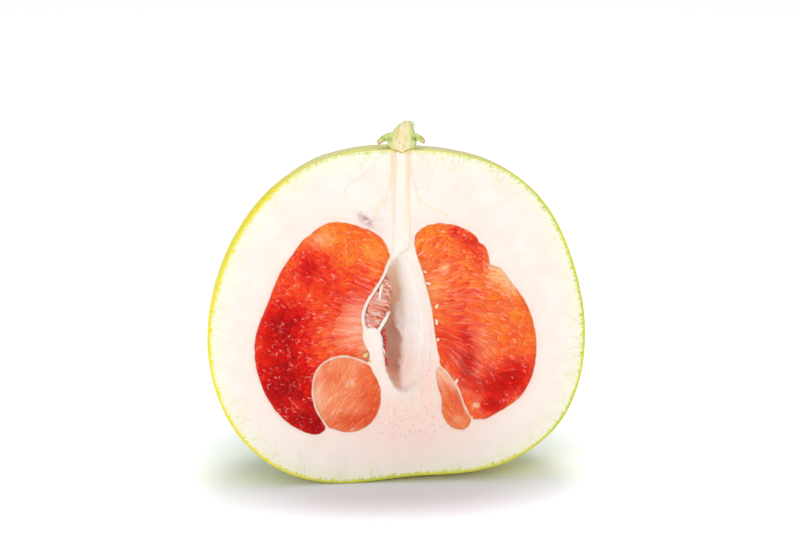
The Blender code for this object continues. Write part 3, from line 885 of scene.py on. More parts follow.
# Each line in the cut face: half its width, and the points that it runs through.
COLUMN_LINES = (
    (0.30, ((-0.7, 136.4), (-0.9, 126), (-1.6, 117), (-1.7, 103), (-2.1, 98), (-3.4, 91.5))),
    (0.30, ((4.1, 136.4), (4.3, 122), (4.6, 114), (4.9, 103), (4.4, 98.3), (3.3, 96.2),
            (1.3, 94.8))),
    (0.26, ((-2.6, 136.4), (-2.6, 129.5), (-3.5, 121.8), (-4.5, 118), (-5.3, 116))),
    (0.26, ((5.3, 136.4), (5.5, 129.5), (6.8, 122.6), (9.2, 115.4))),
    (0.16, ((-4.1, 137), (-8.8, 132.7), (-10.3, 129.5), (-19.5, 123.4), (-21.4, 118))),
    (0.16, ((7, 136.4), (9.7, 133.8), (11.7, 131.8), (15, 126))),
    (0.18, ((7.6, 120.6), (9.3, 121.9), (10.9, 121.8), (12.4, 120.4))),
)
STRANDS = (
    (0.75, ((-5.0, 116.2), (-6.6, 115.6), (-8.5, 113.9))),
    (0.70, ((-7.8, 112.6), (-9.2, 111.8), (-10.6, 110.5))),
    (0.42, ((-15.6, 108.9), (-16.4, 108.7), (-17.1, 108.2))),
    (0.36, ((-20.2, 109.1), (-21.6, 109.0), (-23.2, 108.5))),
    (0.60, ((9.3, 115.0), (11.2, 114.6), (13.3, 113.3))),
    (0.45, ((13.6, 113.0), (16.5, 111.9), (19.8, 110.1))),
    (0.38, ((20.4, 108.4), (22, 107.9), (23.8, 106.8))),
    (0.30, ((14.4, 108.7), (16, 108.6), (17.6, 108.2))),
    (0.34, ((10.2, 40.0), (8.9, 37.0), (8.3, 34.0), (8.6, 30.5))),
    (0.32, ((1.3, 34.8), (1.1, 32), (1.6, 30), (1.4, 27.5))),
    (0.34, ((5.6, 36), (5.2, 33), (5.7, 29.5))),
    (0.30, ((-2.1, 34.2), (-2.7, 30), (-2.3, 25.2))),
    (0.30, ((13.4, 43.0), (14.6, 39.0), (15.2, 34.5), (15.6, 30.5))),
    (0.26, ((-9.3, 49.3), (-8.0, 46.8), (-6.8, 44.2))),
)
VEIN_COUNT = 90


def smooth_path(points, step=0.8):
    """A curve through points (Catmull-Rom), sampled about every step."""
    points = np.array(points, float)
    ends = np.vstack([2 * points[0] - points[1], points, 2 * points[-1] - points[-2]])
    path = []
    for before, start, end, after in zip(ends, ends[1:], ends[2:], ends[3:]):
        count = max(2, int(np.linalg.norm(end - start) / step))
        for t in np.arange(count) / count:
            path.append(0.5 * (2 * start + (end - before) * t
                               + (2 * before - 5 * start + 4 * end - after) * t ** 2
                               + (3 * start - before - 3 * end + after) * t ** 3))
    path.append(points[-1])
    return np.array(path)


def line_shape(points, half_width, depth, blunt, flat=1.0):
    """A thin raised line that tapers at both ends, half sunk in the cut face."""
    path = smooth_path(points)
    share = np.linspace(0, 1, len(path))
    radii = half_width * (blunt + (1 - blunt) * np.sin(math.pi * share) ** 0.5)
    return tube(as_3d(path, depth), radii * (1 + 0.15 * noise_at(path, 1.5)), 8, flat)


def line_beside(loop, low, high):
    """Points just outside the left side of a segment, from one height to another."""
    edge = grown(loop, 0.45)
    beside = edge[(edge[:, 0] < loop[:, 0].mean()) & (edge[:, 1] > low) & (edge[:, 1] < high)]
    return beside[np.argsort(beside[:, 1])][::6]


def wandering_veins(rim, holes):
    """Fine yellowish veins that wander inwards from the rim."""
    shapes = []
    inward = unit(rim.mean(axis=0) - rim)
    for index in random.choice(len(rim), VEIN_COUNT, replace=False):
        heading = math.atan2(inward[index, 1], inward[index, 0]) + random.uniform(-0.7, 0.7)
        path = [rim[index] + inward[index] * random.uniform(1.5, 3.5)]
        for _ in range(random.integers(4, 11)):
            heading += random.uniform(-0.55, 0.55)
            path.append(path[-1] + np.array([math.cos(heading), math.sin(heading)]) * 1.3)
        path = np.array(path)
        free = inside(path, grown(rim, -1.2)).all()
        if free and not any(inside(path, grown(hole, 1)).any() for hole in holes):
            shapes.append(tube(as_3d(path, 0.1), np.linspace(0.15, 0.06, len(path)), 5))
    return shapes


def make_lines(rim, loops, hollow):
    make_joined("pomelo_column_lines",
                [line_shape(points, width, 0.16, 0.8) for width, points in COLUMN_LINES],
                plain_material("vein", (0.94, 0.76, 0.52), 0.55, 0.08))
    strands = [line_shape(points, width, 0.1, 0.5, 0.28) for width, points in STRANDS]
    strands.append(line_shape(line_beside(loops["pulp_right"], 58, 92), 0.24, 0.16, 0.6))
    make_joined("pomelo_strands", strands, plain_material("strand", (0.95, 0.81, 0.60), 0.5, 0.06))
    make_joined("pomelo_fine_veins",
                wandering_veins(rim, list(loops.values()) + [hollow.opening]),
                plain_material("fine_vein", (0.93, 0.84, 0.50), 0.6, 0.1))


# ---------------------------------------------------------------- the pulp

SAC_STEP = 0.29
PULP_DEPTH = 0.95
PULP_EDGE_DEPTH = 0.12
PULP_THICKNESS = 3.0
# Where the painted light comes from, and across which way most painted wet strokes lie.
LIGHT_TURN = math.radians(125)
GLINT_TURN = math.radians(212)
SAC_MM = (0.8, 2.6)
# Each segment: where its sacs point, how wide, long and (at the outer wall) short they are, how
# far out the long ones reach, and its colours. A tint is (x, z, reach in x, reach in z, how much
# riper, how much paler), and a dent (x, z, reach, how deep).
PULP = {
    "pulp_left": {
        "focus": (34, 63), "width": 1.7, "long": 12, "short": 2.2, "turn": 0.74, "glints": 0.36,
        "ripe": 0.40, "dry": 0.05, "slot": "pulp_red",
        "dents": ((-12.8, 53.7, 2.2, 0.9), (-11.2, 51.0, 1.6, 0.6)),
        "tints": ((-28, 105, 7, 5, -0.18, 0), (-30.5, 101.3, 4.5, 2.6, -0.15, 0.5),
                  (-35, 90, 9, 8, 0.22, 0), (-14, 97, 12, 7, -0.10, 0),
                  (-15, 67.5, 6, 8, -0.16, 0.95), (-21, 79, 10, 9, 0.20, 0),
                  (-19, 62, 7, 5, -0.06, 0.35), (-12, 55, 3, 4, -0.2, 0.6),
                  (-46, 66, 12, 13, 0.46, 0), (-46, 41, 15, 15, 0.52, 0),
                  (-34, 24, 10, 9, 0.50, 0), (-36, 88, 5, 6, 0.10, 0),
                  (-9.3, 95.3, 4, 6, -0.12, 0.05), (-41, 33, 3, 2.4, -0.1, 0.3))},
    "pulp_right": {
        "focus": (-14, 78), "width": 1.8, "long": 12, "short": 2.4, "turn": 0.82,
        "glints": 0.5, "ripe": 0.38, "dry": 0.10, "slot": "pulp_red",
        "tints": ((11, 100, 7, 6, -0.16, -0.08), (23.3, 104, 2.4, 2.4, 0.34, 0),
                  (30, 99.6, 5, 3.5, 0.32, 0), (34, 92.5, 3, 4, 0.18, 0),
                  (19.5, 88.6, 1.6, 1.6, 0, 0.9), (15, 80, 5, 7, -0.12, 0.3),
                  (36, 86, 4, 4, 0.1, 0), (41.5, 86.5, 5, 4, -0.40, 1.4),
                  (46, 79.8, 3.2, 3.6, -0.25, 0.9), (19.5, 58, 6, 7, 0.22, 0),
                  (28.5, 60, 4.5, 6, 0.27, 0), (28.3, 50, 5, 6, 0.36, 0.1),
                  (35, 57, 4.5, 8, 0.02, 0.28), (27, 72, 7, 6, 0.16, 0.05),
                  (49, 66, 6, 9, -0.02, 0), (50, 44, 7, 8, 0.38, 0), (41, 40, 8, 8, 0.33, 0),
                  (38, 31, 6, 5, 0.36, 0), (32.5, 32, 1.9, 1.7, 0, 1.2),
                  (29, 41, 6, 6, 0.26, 0.2))},
    "pulp_lower_left": {
        "focus": (-54, -6), "width": 1.7, "long": 5, "short": 3, "turn": 0.95, "glints": 0.4,
        "gleam": 0.8, "ripe": 0.34, "dry": 0.16, "slot": "pulp_orange",
        "tints": ((-8.6, 37, 5, 12, 0.30, -0.15), (-33, 38, 3, 10, -0.1, 0.8),
                  (-24, 51, 8, 2.2, 0.05, 0.3), (-17, 26, 9, 4, 0.32, -0.1),
                  (-28, 44, 3.5, 2.5, 0.3, 0), (-27, 34, 5, 4, -0.12, 0.1),
                  (-14, 38, 2.5, 6, 0.2, 0), (-19.5, 42, 2, 1.6, -0.1, 0.8),
                  (-20, 31, 5, 2, 0.05, 0.3))},
    "pulp_lower_right": {
        "focus": (4, 56), "width": 1.8, "long": 9, "short": 5, "turn": 0.9, "glints": 0.4,
        "gleam": 0.8, "ripe": 0.36, "dry": 0.12, "slot": "pulp_orange",
        "tints": ((17, 46, 3.5, 5.5, -0.2, 1.3), (24.5, 34, 2.2, 6, 0.3, 0.05),
                  (20.5, 32, 2.5, 5, 0.12, -0.1), (24.5, 25.6, 1.8, 1.1, -0.1, 0.5),
                  (22.4, 43.0, 2.2, 4.0, 0, 0.9))},
}


def tinted(shape, points):
    """How ripe, from pale orange (0) to deep red (1), and how dry and pale the pulp is."""
    ripe = shape["ripe"] + 0.07 * noise_at(points, 6, 2.0)
    dry = np.full(len(points), shape["dry"])
    for *place, riper, paler in shape["tints"]:
        share = spot(points, *place)
        ripe = ripe + riper * share
        dry = dry + paler * share
    return np.clip(ripe, 0, 1), np.clip(dry, 0, 1)


class Sacs:
    """A fan of juice sacs: long strands near the core, round sac ends by the outer wall."""

    BLEND = 0.07
    RAYS = 48
    SHAKE = 0.42

    def __init__(self, loop, shape):
        self.shape = shape
        self.focus = np.array(shape["focus"], float)
        middle = loop.mean(axis=0) - self.focus
        self.heading = math.atan2(middle[1], middle[0])
        angle, distance = self.polar(loop)
        self.mean, self.reach = distance.mean(), distance.max()
        self.angles, step = np.linspace(angle.min(), angle.max(), self.RAYS, retstep=True)
        walls = [distance[np.abs(angle - ray) <= step].max() for ray in self.angles]
        self.walls = np.convolve(np.pad(walls, 3, mode="edge"), np.ones(7) / 7, "valid")
        across, along, _ = self.coordinates(loop)
        self.seeds = np.array([(u + 0.5 * (row % 2) + random.uniform(-self.SHAKE, self.SHAKE),
                                v + random.uniform(-self.SHAKE, self.SHAKE))
                               for row, v in enumerate(np.arange(along.min() - 2, along.max() + 2))
                               for u in np.arange(across.min() - 2, across.max() + 2)])
        self.tree = search_tree(self.seeds)
        self.tone, self.lift, self.shine = random.uniform(0, 1, (3, len(self.seeds)))
        self.tilt = random.normal(0, 1, (len(self.seeds), 2))

    def polar(self, points):
        """The angle from the fan's middle line, and the distance from its focus."""
        away = points - self.focus
        angle = np.arctan2(away[:, 1], away[:, 0]) - self.heading
        return (angle + math.pi) % CIRCLE - math.pi, np.linalg.norm(away, axis=1)

    def coordinates(self, points):
        """Across and along the fan, counted in sacs, and the share of the way to the wall."""
        shape = self.shape
        waver = np.column_stack([noise_at(points, 12, 1.0), noise_at(points, 12, 8.0)])
        ripple = np.column_stack([noise_at(points, 3.2, 5.0), noise_at(points, 3.2, 11.0)])
        angle, distance = self.polar(points + 1.9 * waver + 0.55 * ripple)
        share = distance / np.interp(angle, self.angles, self.walls)
        slow, fast = self.reach / shape["long"], self.reach / shape["short"]
        past = self.BLEND * np.logaddexp(0, (share - shape["turn"]) / self.BLEND)
        return angle * self.mean / shape["width"], slow * share + (fast - slow) * past, share

    def measure(self, points):
        """For each point: its sac and the next one, how far inside it is, and where in it."""
        across, along, share = self.coordinates(points)
        found = [self.tree.find_n((u, v, 0), 2) for u, v in zip(across, along)]
        sac, other = (np.array([pair[k][1] for pair in found]) for k in (0, 1))
        margin = np.array([second[2] - first[2] for first, second in found])
        offset = np.column_stack([across, along]) - self.seeds[sac]
        return sac, other, margin, offset, share, across, along

    def whole(self, sac, points):
        """The middle of each sac, as the mean of the points in it."""
        count = len(self.seeds)
        number = np.maximum(np.bincount(sac, minlength=count), 1)
        return np.column_stack([np.bincount(sac, points[:, k], count) / number for k in (0, 1)])


def painted_wet_light(sacs, sac, offset, margin_mm, sac_mm, long):
    """Painted highlights where the sacs would catch the light: short strokes and arcs, and which
    side of each is painted as lit.
    """
    tone = sacs.tone[sac]
    turn = LIGHT_TURN - sacs.heading
    toward = offset[:, 1] * np.cos(turn) + offset[:, 0] * np.sin(turn)
    lit = toward / np.maximum(np.linalg.norm(offset, axis=1), 0.05)
    turn = GLINT_TURN - sacs.heading + 1.7 * (tone - 0.5)
    over = (offset[:, 1] * np.cos(turn) + offset[:, 0] * np.sin(turn)) * sac_mm
    side = (offset[:, 0] * np.cos(turn) - offset[:, 1] * np.sin(turn)) * sac_mm
    bent = over - 0.3 - 0.6 * (tone - 0.3) * side ** 2
    stroke = np.exp(-(bent / 0.17) ** 2 - (side / (0.2 + 0.6 * sacs.lift[sac])) ** 2)
    stroke *= fade(1 - sacs.shape["glints"], 1, sacs.shine[sac])
    arc = np.exp(-((margin_mm - 0.45) / 0.22) ** 2) * fade(0.4, 0.95, lit)
    arc *= 0.6 * fade(0.72, 0.95, sacs.shine[sac - 1])
    dull = 1 - sacs.shape.get("gleam", 0.25)
    return np.maximum(stroke, arc) * (1 - dull * long), lit


def make_pulp(name, loop, shape, finish, base, replaced):
    """One segment's wet face: every sac is a low dome of its own height and tilt."""
    sacs = Sacs(loop, shape)
    flat, faces, source = triangulated([loop], lattice(grown(loop, -0.3), SAC_STEP))
    faces = faces[inside(flat[faces].mean(axis=1), loop)]
    sac, other, margin, offset, share, across, along = sacs.measure(flat)
    edge_mm = distance_to(flat, loop)
    long = fade(shape["turn"] + 0.06, shape["turn"] - 0.14, share)
    sac_mm = np.clip(shape["width"] * sacs.polar(flat)[1] / sacs.mean, *SAC_MM)
    margin_mm = margin * sac_mm
    light, lit = painted_wet_light(sacs, sac, offset, margin_mm, sac_mm, long)
    # Near the core a sac is a flat-topped strand, by the wall it is a round ball.
    ball = np.sqrt(np.clip(1 - (np.linalg.norm(offset, axis=1) / 0.78) ** 2, 0, 1))
    dome = (0.35 + 0.3 * long) * fade(0, 0.7, margin) + (0.65 - 0.3 * long) * ball
    height = (0.66 - 0.36 * long) * dome + (0.22 - 0.12 * long) * sacs.lift[sac]
    # Each one is tilted a little, and its skin is finely uneven.
    height += 0.12 * (sacs.tilt[sac] * offset * (0.3, 0.12)).sum(axis=1)
    height += 0.06 * noise_at(flat, 0.9, 4.0)
    depth = np.maximum(PULP_DEPTH - height * fade(0.0, 1.2, edge_mm), 0.05)
    rounding = np.exp(-edge_mm / 0.45)
    depth = depth * (1 - rounding) + PULP_EDGE_DEPTH * rounding + base
    for x, z, reach, deeper in shape.get("dents", ()):
        depth += deeper * spot(flat, x, z, reach, reach)
    # A round sac has mostly one colour, a long one changes along its length.
    even_share = 0.65 - 0.5 * long
    ripe, dry = (even_share * whole[sac] + (1 - even_share) * local for whole, local
                 in zip(tinted(shape, sacs.whole(sac, flat)), tinted(shape, flat)))
    dry *= (0.45 + 0.75 * sacs.lift[sac]) * (1 - 0.85 * fade(0.55, 0.78, ripe))
    # Two sacs share a wall: its pale membrane shows only on its lit side, a painted highlight, and
    # the other side gets a painted shade.
    wall = (sacs.tone[sac] + sacs.tone[other]) % 1.0
    bright = fade(-0.3, 0.6, lit)
    fields = {"ripe": ripe, "sac": sacs.tone[sac], "long": long, "dry": np.clip(dry, 0, 1),
              "line": (1 - fade(0.06, 0.42, margin_mm)) * wall ** 1.3 * bright,
              "crease_shade": (1 - fade(0.0, 0.9, margin_mm)) * (1 - bright),
              "glint": light, "across": across, "along": along,
              "edge_mm": np.minimum(edge_mm, 5)}
    ring = order_of_loop(source, len(loop))
    fields = {key: np.append(value, value[ring]) for key, value in fields.items()}
    front = as_3d(flat, depth)
    points = np.vstack([front, as_3d(grown(loop, 0.2), base + PULP_THICKNESS)])
    back = len(flat) + np.arange(len(loop))
    side = np.column_stack([ring, back, np.roll(back, -1), np.roll(ring, -1)])
    faces = facing_front(front, faces).tolist() + side.tolist()
    make_object(name, points, faces, finish, fields, replaced)


# ---------------------------------------------------------------- the torn segment and seeds

TORN_OUTLINE = ((-4.3, 86.2), (-2.9, 82.5), (-2.4, 79.1), (-3.1, 74), (-4.9, 69.9), (-7.4, 64.6),
                (-11.2, 64.4), (-12.9, 67.6), (-11.7, 73.4), (-8.9, 78.4), (-6.3, 82))
TORN = {"focus": (-34, 80), "width": 1.7, "long": 9, "short": 8, "turn": 0.95, "glints": 0.4,
        "ripe": 0.50, "dry": 0.55, "slot": "pulp_pink", "tints": ()}
TORN_DEPTH = 2.3
TORN_SACS, TORN_FOOT, TORN_PITCH = 23, 64.9, 0.88
FINE_SACS, FINE_FOOT, FINE_HEIGHT = 20, 65.5, 19.0
TORN_BAND = 0.8
# Sacs lower down in the hollow: x, z, length and tilt.
LOW_SACS = ((-5.4, 62.4, 2.4, 70), (-4.9, 60.2, 2.2, 110), (-5.2, 57.8, 2.6, 80),
            (-4.5, 55.6, 2.0, 100), (-4.6, 50.6, 1.8, 85), (-4.3, 48.9, 1.5, 95))
# White shreds: half the width, how flat, and the points (x, z, depth) that each runs through.
FLAPS = (
    (0.75, 0.45, ((-3.1, 71.2, 1.6), (-4.5, 68.9, 0.9), (-6.4, 65.8, 0.4), (-8.6, 62.2, 0.2))),
    (0.50, 0.40, ((-6.0, 82.8, 0.2), (-6.9, 80.0, 0.3), (-7.2, 77.6, 0.7), (-7.1, 75.9, 1.0))),
    (1.10, 0.50, ((-12.9, 63.6, 0.5), (-11.2, 63.9, 0.4), (-9.4, 63.8, 0.3), (-7.6, 62.6, 0.3))),
    (0.24, 0.55, ((-5.9, 56.5, 0.4), (-5.3, 54.8, 0.9), (-5.0, 53.2, 1.4))),
    (0.30, 0.55, ((0.6, 94.9, 0.3), (1.0, 93.9, 0.6), (1.9, 93.4, 1.2))),
)
# Seeds and the stalks of lost ones: x, z, length, width and tilt.
SEEDS = {"seed_upper": (-12.8, 53.7, 3.0, 1.9, 35), "seed_lower": (-11.2, 51.0, 2.2, 1.4, 62)}
SEED_STALKS = ((11.0, 87.4, 1.6, 0.9, 150), (12.4, 82.6, 2.2, 1.3, 160), (15.9, 73.2, 2.1, 1.2, 65),
               (15.8, 66.6, 2.4, 1.2, 95), (16.4, 59.3, 1.6, 1.1, 80), (-4.2, 70.6, 1.2, 1.0, 60),
               (24.1, 41.8, 2.2, 1.3, 70))


def sac_shape(start, end, width, bow):
    """A juice sac: a drop that is thin where it grows from and round at its free end."""
    share = np.linspace(0, 1, 10)
    path = start + (np.subtract(end, start)) * share[:, None]
    path[:, 2] += bow * np.sin(math.pi * share)
    return tube(path, width / 2 * np.sqrt(np.clip(np.sin(math.pi * share ** 0.7), 0.02, 1)), 10)


def drop(x, z, length, width, tilt, depth):
    """A drop that lies in the cut face, tilted by so many degrees from the x axis."""
    turn = math.radians(tilt)
    half = np.array([math.cos(turn), 0, math.sin(turn)]) * length / 2
    middle = np.array([x, CUT + depth, z])
    return sac_shape(middle - half, middle + half, width, 0.05)


def sac_material():
    n = Nodes("torn_sacs")
    streak = n.noise(0.8, 3)
    colour = n.ramp(n.plus(n.field("tone"), n.swing(streak, 0.7)), (0.0, (0.52, 0.03, 0.012)),
                    (0.4, (0.80, 0.20, 0.12)), (0.7, (0.89, 0.34, 0.25)),
                    (1.0, (0.95, 0.64, 0.54)))
    return n.finish(colour, 0.3, n.bump(streak, 0.2, 0.5), (0.4, 1.2, (1.0, 0.3, 0.2)))


def wrinkled(points):
    """How far the torn sacs are pushed about, so that none stays smooth."""
    return 0.12 * np.column_stack([noise_at(points, 0.9, seed) + 2 * noise_at(points, 2.4, seed)
                                   for seed in (1.0, 4.0, 7.0)])


def make_torn_segment(finish):
    """Sacs of a segment that was torn, not cut, seen through the side of the hollow."""
    outline = even(np.array(TORN_OUTLINE), 0.4)
    make_pulp("pomelo_torn_back", outline, TORN, finish, TORN_DEPTH, ["pulp_core"])
    shapes, tones = [], []
    for row in range(TORN_SACS):
        z = TORN_FOOT + row * TORN_PITCH + random.uniform(-0.4, 0.4)
        across = outline[np.abs(outline[:, 1] - z) < TORN_BAND][:, 0]
        y = CUT + random.uniform(1.3, 2.1)
        droop = random.uniform(0.1, 2.6)
        start = (across.min() + random.uniform(-0.9, 1.6), y + 0.3, z + droop)
        x, low = across.max() + random.uniform(-2.6, 0.1), z - 0.8 * droop
        shapes.append(sac_shape(start, (x, y, low), random.uniform(1.5, 2.8),
                                random.uniform(-0.5, 0.6)))
        tones.append(random.uniform(0.45, 0.85))
        # A darker one fills the gap behind it.
        shapes.append(sac_shape((x - 2.6, y + 1.2, low + 0.8), (x + 0.5, y + 1.4, low - 0.5),
                                2.0, 0.25))
        tones.append(random.uniform(-0.1, 0.25))
    # Small pale sacs over the front: their pale tone is partly painted highlight.
    for row in range(FINE_SACS):
        z = FINE_FOOT + (row + random.uniform(0, 1)) * FINE_HEIGHT / FINE_SACS
        across = outline[np.abs(outline[:, 1] - z) < TORN_BAND][:, 0]
        x = random.uniform(across.min() + 0.6, across.max() - 0.8)
        reach, droop = random.uniform(1.0, 1.9), random.uniform(0.3, 1.1)
        start, end = (x - reach, CUT + 1.0, z + droop), (x + reach, CUT + 0.9, z - droop)
        shapes.append(sac_shape(start, end, random.uniform(0.4, 0.9), random.uniform(-0.2, 0.4)))
        tones.append(random.uniform(0.6, 1.0))
    for x, z, length, tilt in LOW_SACS:
        shapes.append(drop(x, z, length * 1.3, 2.0, tilt, 2.6))
        tones.append(random.uniform(0.1, 0.4))
    tone = np.repeat(tones, [len(points) for points, _ in shapes])
    make_joined("pomelo_torn_sacs", shapes, sac_material(), {"tone": tone},
                wrinkle=wrinkled)


def tufts(opening):
    """Short torn fibres along the lower left edge of the hollow, leaning into it."""
    shapes = []
    x, z = opening.T
    for root in opening[(x < 2) & (z > 39) & (z < 62)]:
        inward = (CORE - root) / np.linalg.norm(CORE - root)
        tip = root + inward * random.uniform(0.2, 1.1) + (0, random.uniform(-0.7, 0.5))
        (root, tip) = as_3d(np.array([root - inward * 0.4, tip]), (0.2, random.uniform(0.5, 1.1)))
        middle = (root + tip) / 2 + random.uniform(-0.1, 0.1, 3)
        shapes.append(tube([root, middle, tip], (0.30, 0.22, 0.06), 5))
    return shapes


def path_3d(route, step):
    """A curve through points (x, z, depth behind the cut face)."""
    path = smooth_path(route, step)
    return as_3d(path, path[:, 2])


def make_flaps(hollow):
    """White shreds of skin that hang over the torn segment and the hollow's edge."""
    shapes = tufts(hollow.opening)
    for half_width, flat, route in FLAPS:
        path = path_3d(route, 0.5)
        share = np.linspace(0.12, 0.92, len(path))
        radii = half_width * (0.3 + 0.7 * np.sin(math.pi * share))
        shapes.append(tube(path, radii * (1 + 0.25 * noise_at(path, 0.8)), 11, flat))
    make_joined("pomelo_flaps", shapes, plain_material("membrane", (0.92, 0.82, 0.74), 0.6, 0.06,
                                                       flesh=(0.2, 1.0, (1.0, 0.2, 0.1))))


def make_seeds():
    tan = plain_material("seed", (0.78, 0.56, 0.20), 0.25, 0.15, 0.8)
    for node, seed in SEEDS.items():
        make_joined("pomelo_" + node, [drop(*seed, 0.55)], tan, None, [node])
    make_joined("pomelo_seed_stalks", [drop(*stalk, 0.35) for stalk in SEED_STALKS],
                plain_material("seed_stalk", (0.96, 0.80, 0.50), 0.3, 0.1, 0.8))


# ---------------------------------------------------------------- the stem

STEM_X = 1.6
# The halved stem's outline: height, and its edges left and right of the middle.
STEM_OUTLINE = ((136.0, -0.6, 0.6), (136.6, -2.7, 2.2), (137.5, -4.3, 4.2), (138.6, -5.2, 5.1),
                (139.4, -5.6, 5.6), (140.2, -5.4, 5.5), (141.5, -4.8, 5.1), (143.5, -3.9, 4.8),
                (145.1, -3.0, 4.6), (146.4, -2.2, 4.1), (147.2, -1.3, 3.8), (147.8, -0.3, 3.5),
                (148.3, 1.0, 3.2), (148.6, 1.9, 2.7))
STEM_ROWS = 46
STEM_LANES = 24
# Each sepal: the way it points, its reach from the middle, half its width.
SEPALS = ((7, 9.7, 3.9), (62, 8.9, 3.6), (119, 9.3, 3.7), (173, 10.0, 4.0))
SEPAL_STEPS = 14
SEPAL_LANES = 10
SEPAL_TOP = 143.5
SEPAL_ROOT = 2.4
SEPAL_DROOP = 3.2
# The flat sections of the two cut sepals: (x, z) round each.
SEPAL_SECTIONS = {
    "left": ((-1.6, 144.6), (-2.3, 144.2), (-4.0, 143.8), (-5.5, 143.0), (-7.1, 141.7),
             (-8.1, 140.5), (-6.9, 140.9), (-5.6, 141.5), (-4.5, 140.9), (-4.0, 140.4),
             (-4.4, 139.5), (-3.6, 138.4), (-1.6, 138.4)),
    "right": ((5.4, 144.6), (6.0, 143.7), (8.0, 143.0), (9.4, 141.7), (10.6, 139.9),
              (9.5, 139.8), (8.2, 140.7), (7.0, 140.0), (6.4, 138.5), (5.0, 138.4)),
}
STEM_FLAP = ((1.9, 147.9, 0.9), (3.3, 148.0, 0.7), (4.5, 147.3, 0.7), (5.2, 146.5, 0.8),
             (5.4, 145.7, 0.9))
STEM_SEAM = ((-5.5, 138.9), (-4.9, 138.0), (-3.9, 137.3), (-2.6, 136.7), (-1.1, 136.5),
             (-0.2, 136.0), (0.6, 136.2), (1.6, 136.7), (2.9, 136.9), (4.1, 137.4), (5.2, 138.5))


def stem_face_material():
    n = Nodes("stem_wood")
    grain = n.noise(0.9, 4, n.place((1.3, 1, 0.22)), 0.6)
    wood = n.ramp(grain, (0.32, (0.74, 0.50, 0.16)), (0.44, (0.85, 0.70, 0.36)),
                  (0.56, (0.88, 0.78, 0.50)), (0.72, (0.94, 0.90, 0.74)))
    side = n.plus(n.field("side"), n.times(grain, 0.4))
    colour = n.over(wood, (n.between(side, 0.62, 1.02), (0.62, 0.68, 0.26)),
                    (n.between(n.noise(1.2, 2), 0.62, 0.7, 0, 0.6), (0.70, 0.42, 0.10)))
    return n.finish(colour, 0.6, n.bump(grain, 0.35, 0.8), (0.1, 1.0, (1.0, 0.2, 0.1)))


def stem_green_material():
    n = Nodes("stem_green")
    streak = n.noise(1.4, 4)
    green = n.ramp(streak, (0.3, (0.34, 0.42, 0.05)), (0.5, (0.54, 0.62, 0.15)),
                   (0.75, (0.72, 0.74, 0.34)))
    dry = n.ramp(streak, (0.3, (0.55, 0.26, 0.08)), (0.7, (0.88, 0.62, 0.38)))
    edge = n.plus(n.field("tip"), n.swing(streak, 0.5))
    return n.finish(n.mix(n.between(edge, 0.86, 1.08), green, dry), 0.6,
                    n.bump(streak, 0.4, 0.6))


def wavy(*place):
    """Smooth noise from -1 to 1 at one place."""
    return noise.noise(Vector(place))


def make_stem_body(green):
    """Half of the stem: a streaked wooden face, with a ribbed green back behind it."""
    heights = np.linspace(STEM_OUTLINE[0][0], STEM_OUTLINE[-1][0], STEM_ROWS)
    outline_z, *sides = np.array(STEM_OUTLINE).T
    left, right = (np.interp(heights, outline_z, side) for side in sides)
    lanes = np.linspace(-1, 1, STEM_LANES)
    face, back = [], []
    for z, low, high, rough in zip(heights, left, right, 0.35 * fade(145.5, 148, heights)):
        for lane in lanes:
            x = (low + high) / 2 + lane * (high - low) / 2
            groove = 0.14 * wavy(x * 1.3, z * 0.25, 3)
            groove += rough * abs(wavy(x * 0.9, z * 0.9, 8)) * 2.2
            lift = rough * wavy(x * 0.8, 2, z * 0.3) * 1.6
            face.append((STEM_X + x, CUT - 0.05 + max(groove, -0.05) + 0.1 * lane ** 6, z + lift))
        for turn in np.linspace(0, math.pi, STEM_LANES):
            along, out = math.cos(turn), math.sin(turn)
            radius = high * (1 + along) / 2 - low * (1 - along) / 2
            radius *= 1 + 0.07 * math.cos(9 * turn) * fade(137, 141, z)
            radius += 0.2 * wavy(along * 2, out * 2, z * 0.5)
            back.append((STEM_X + (low + high) / 2 * out * 0.4 + radius * along,
                         CUT + 0.02 + 0.9 * max(radius, 0.2) * out, z))
    faces = bands(STEM_ROWS, STEM_LANES, False)
    side = np.tile(np.abs(lanes), STEM_ROWS)
    make_object("pomelo_stem_face", face, facing_front(np.array(face), np.array(faces)),
                stem_face_material(), {"side": side}, ["stem"])
    make_joined("pomelo_stem_back", [(back, faces)], green, {"tip": np.zeros(len(back))})


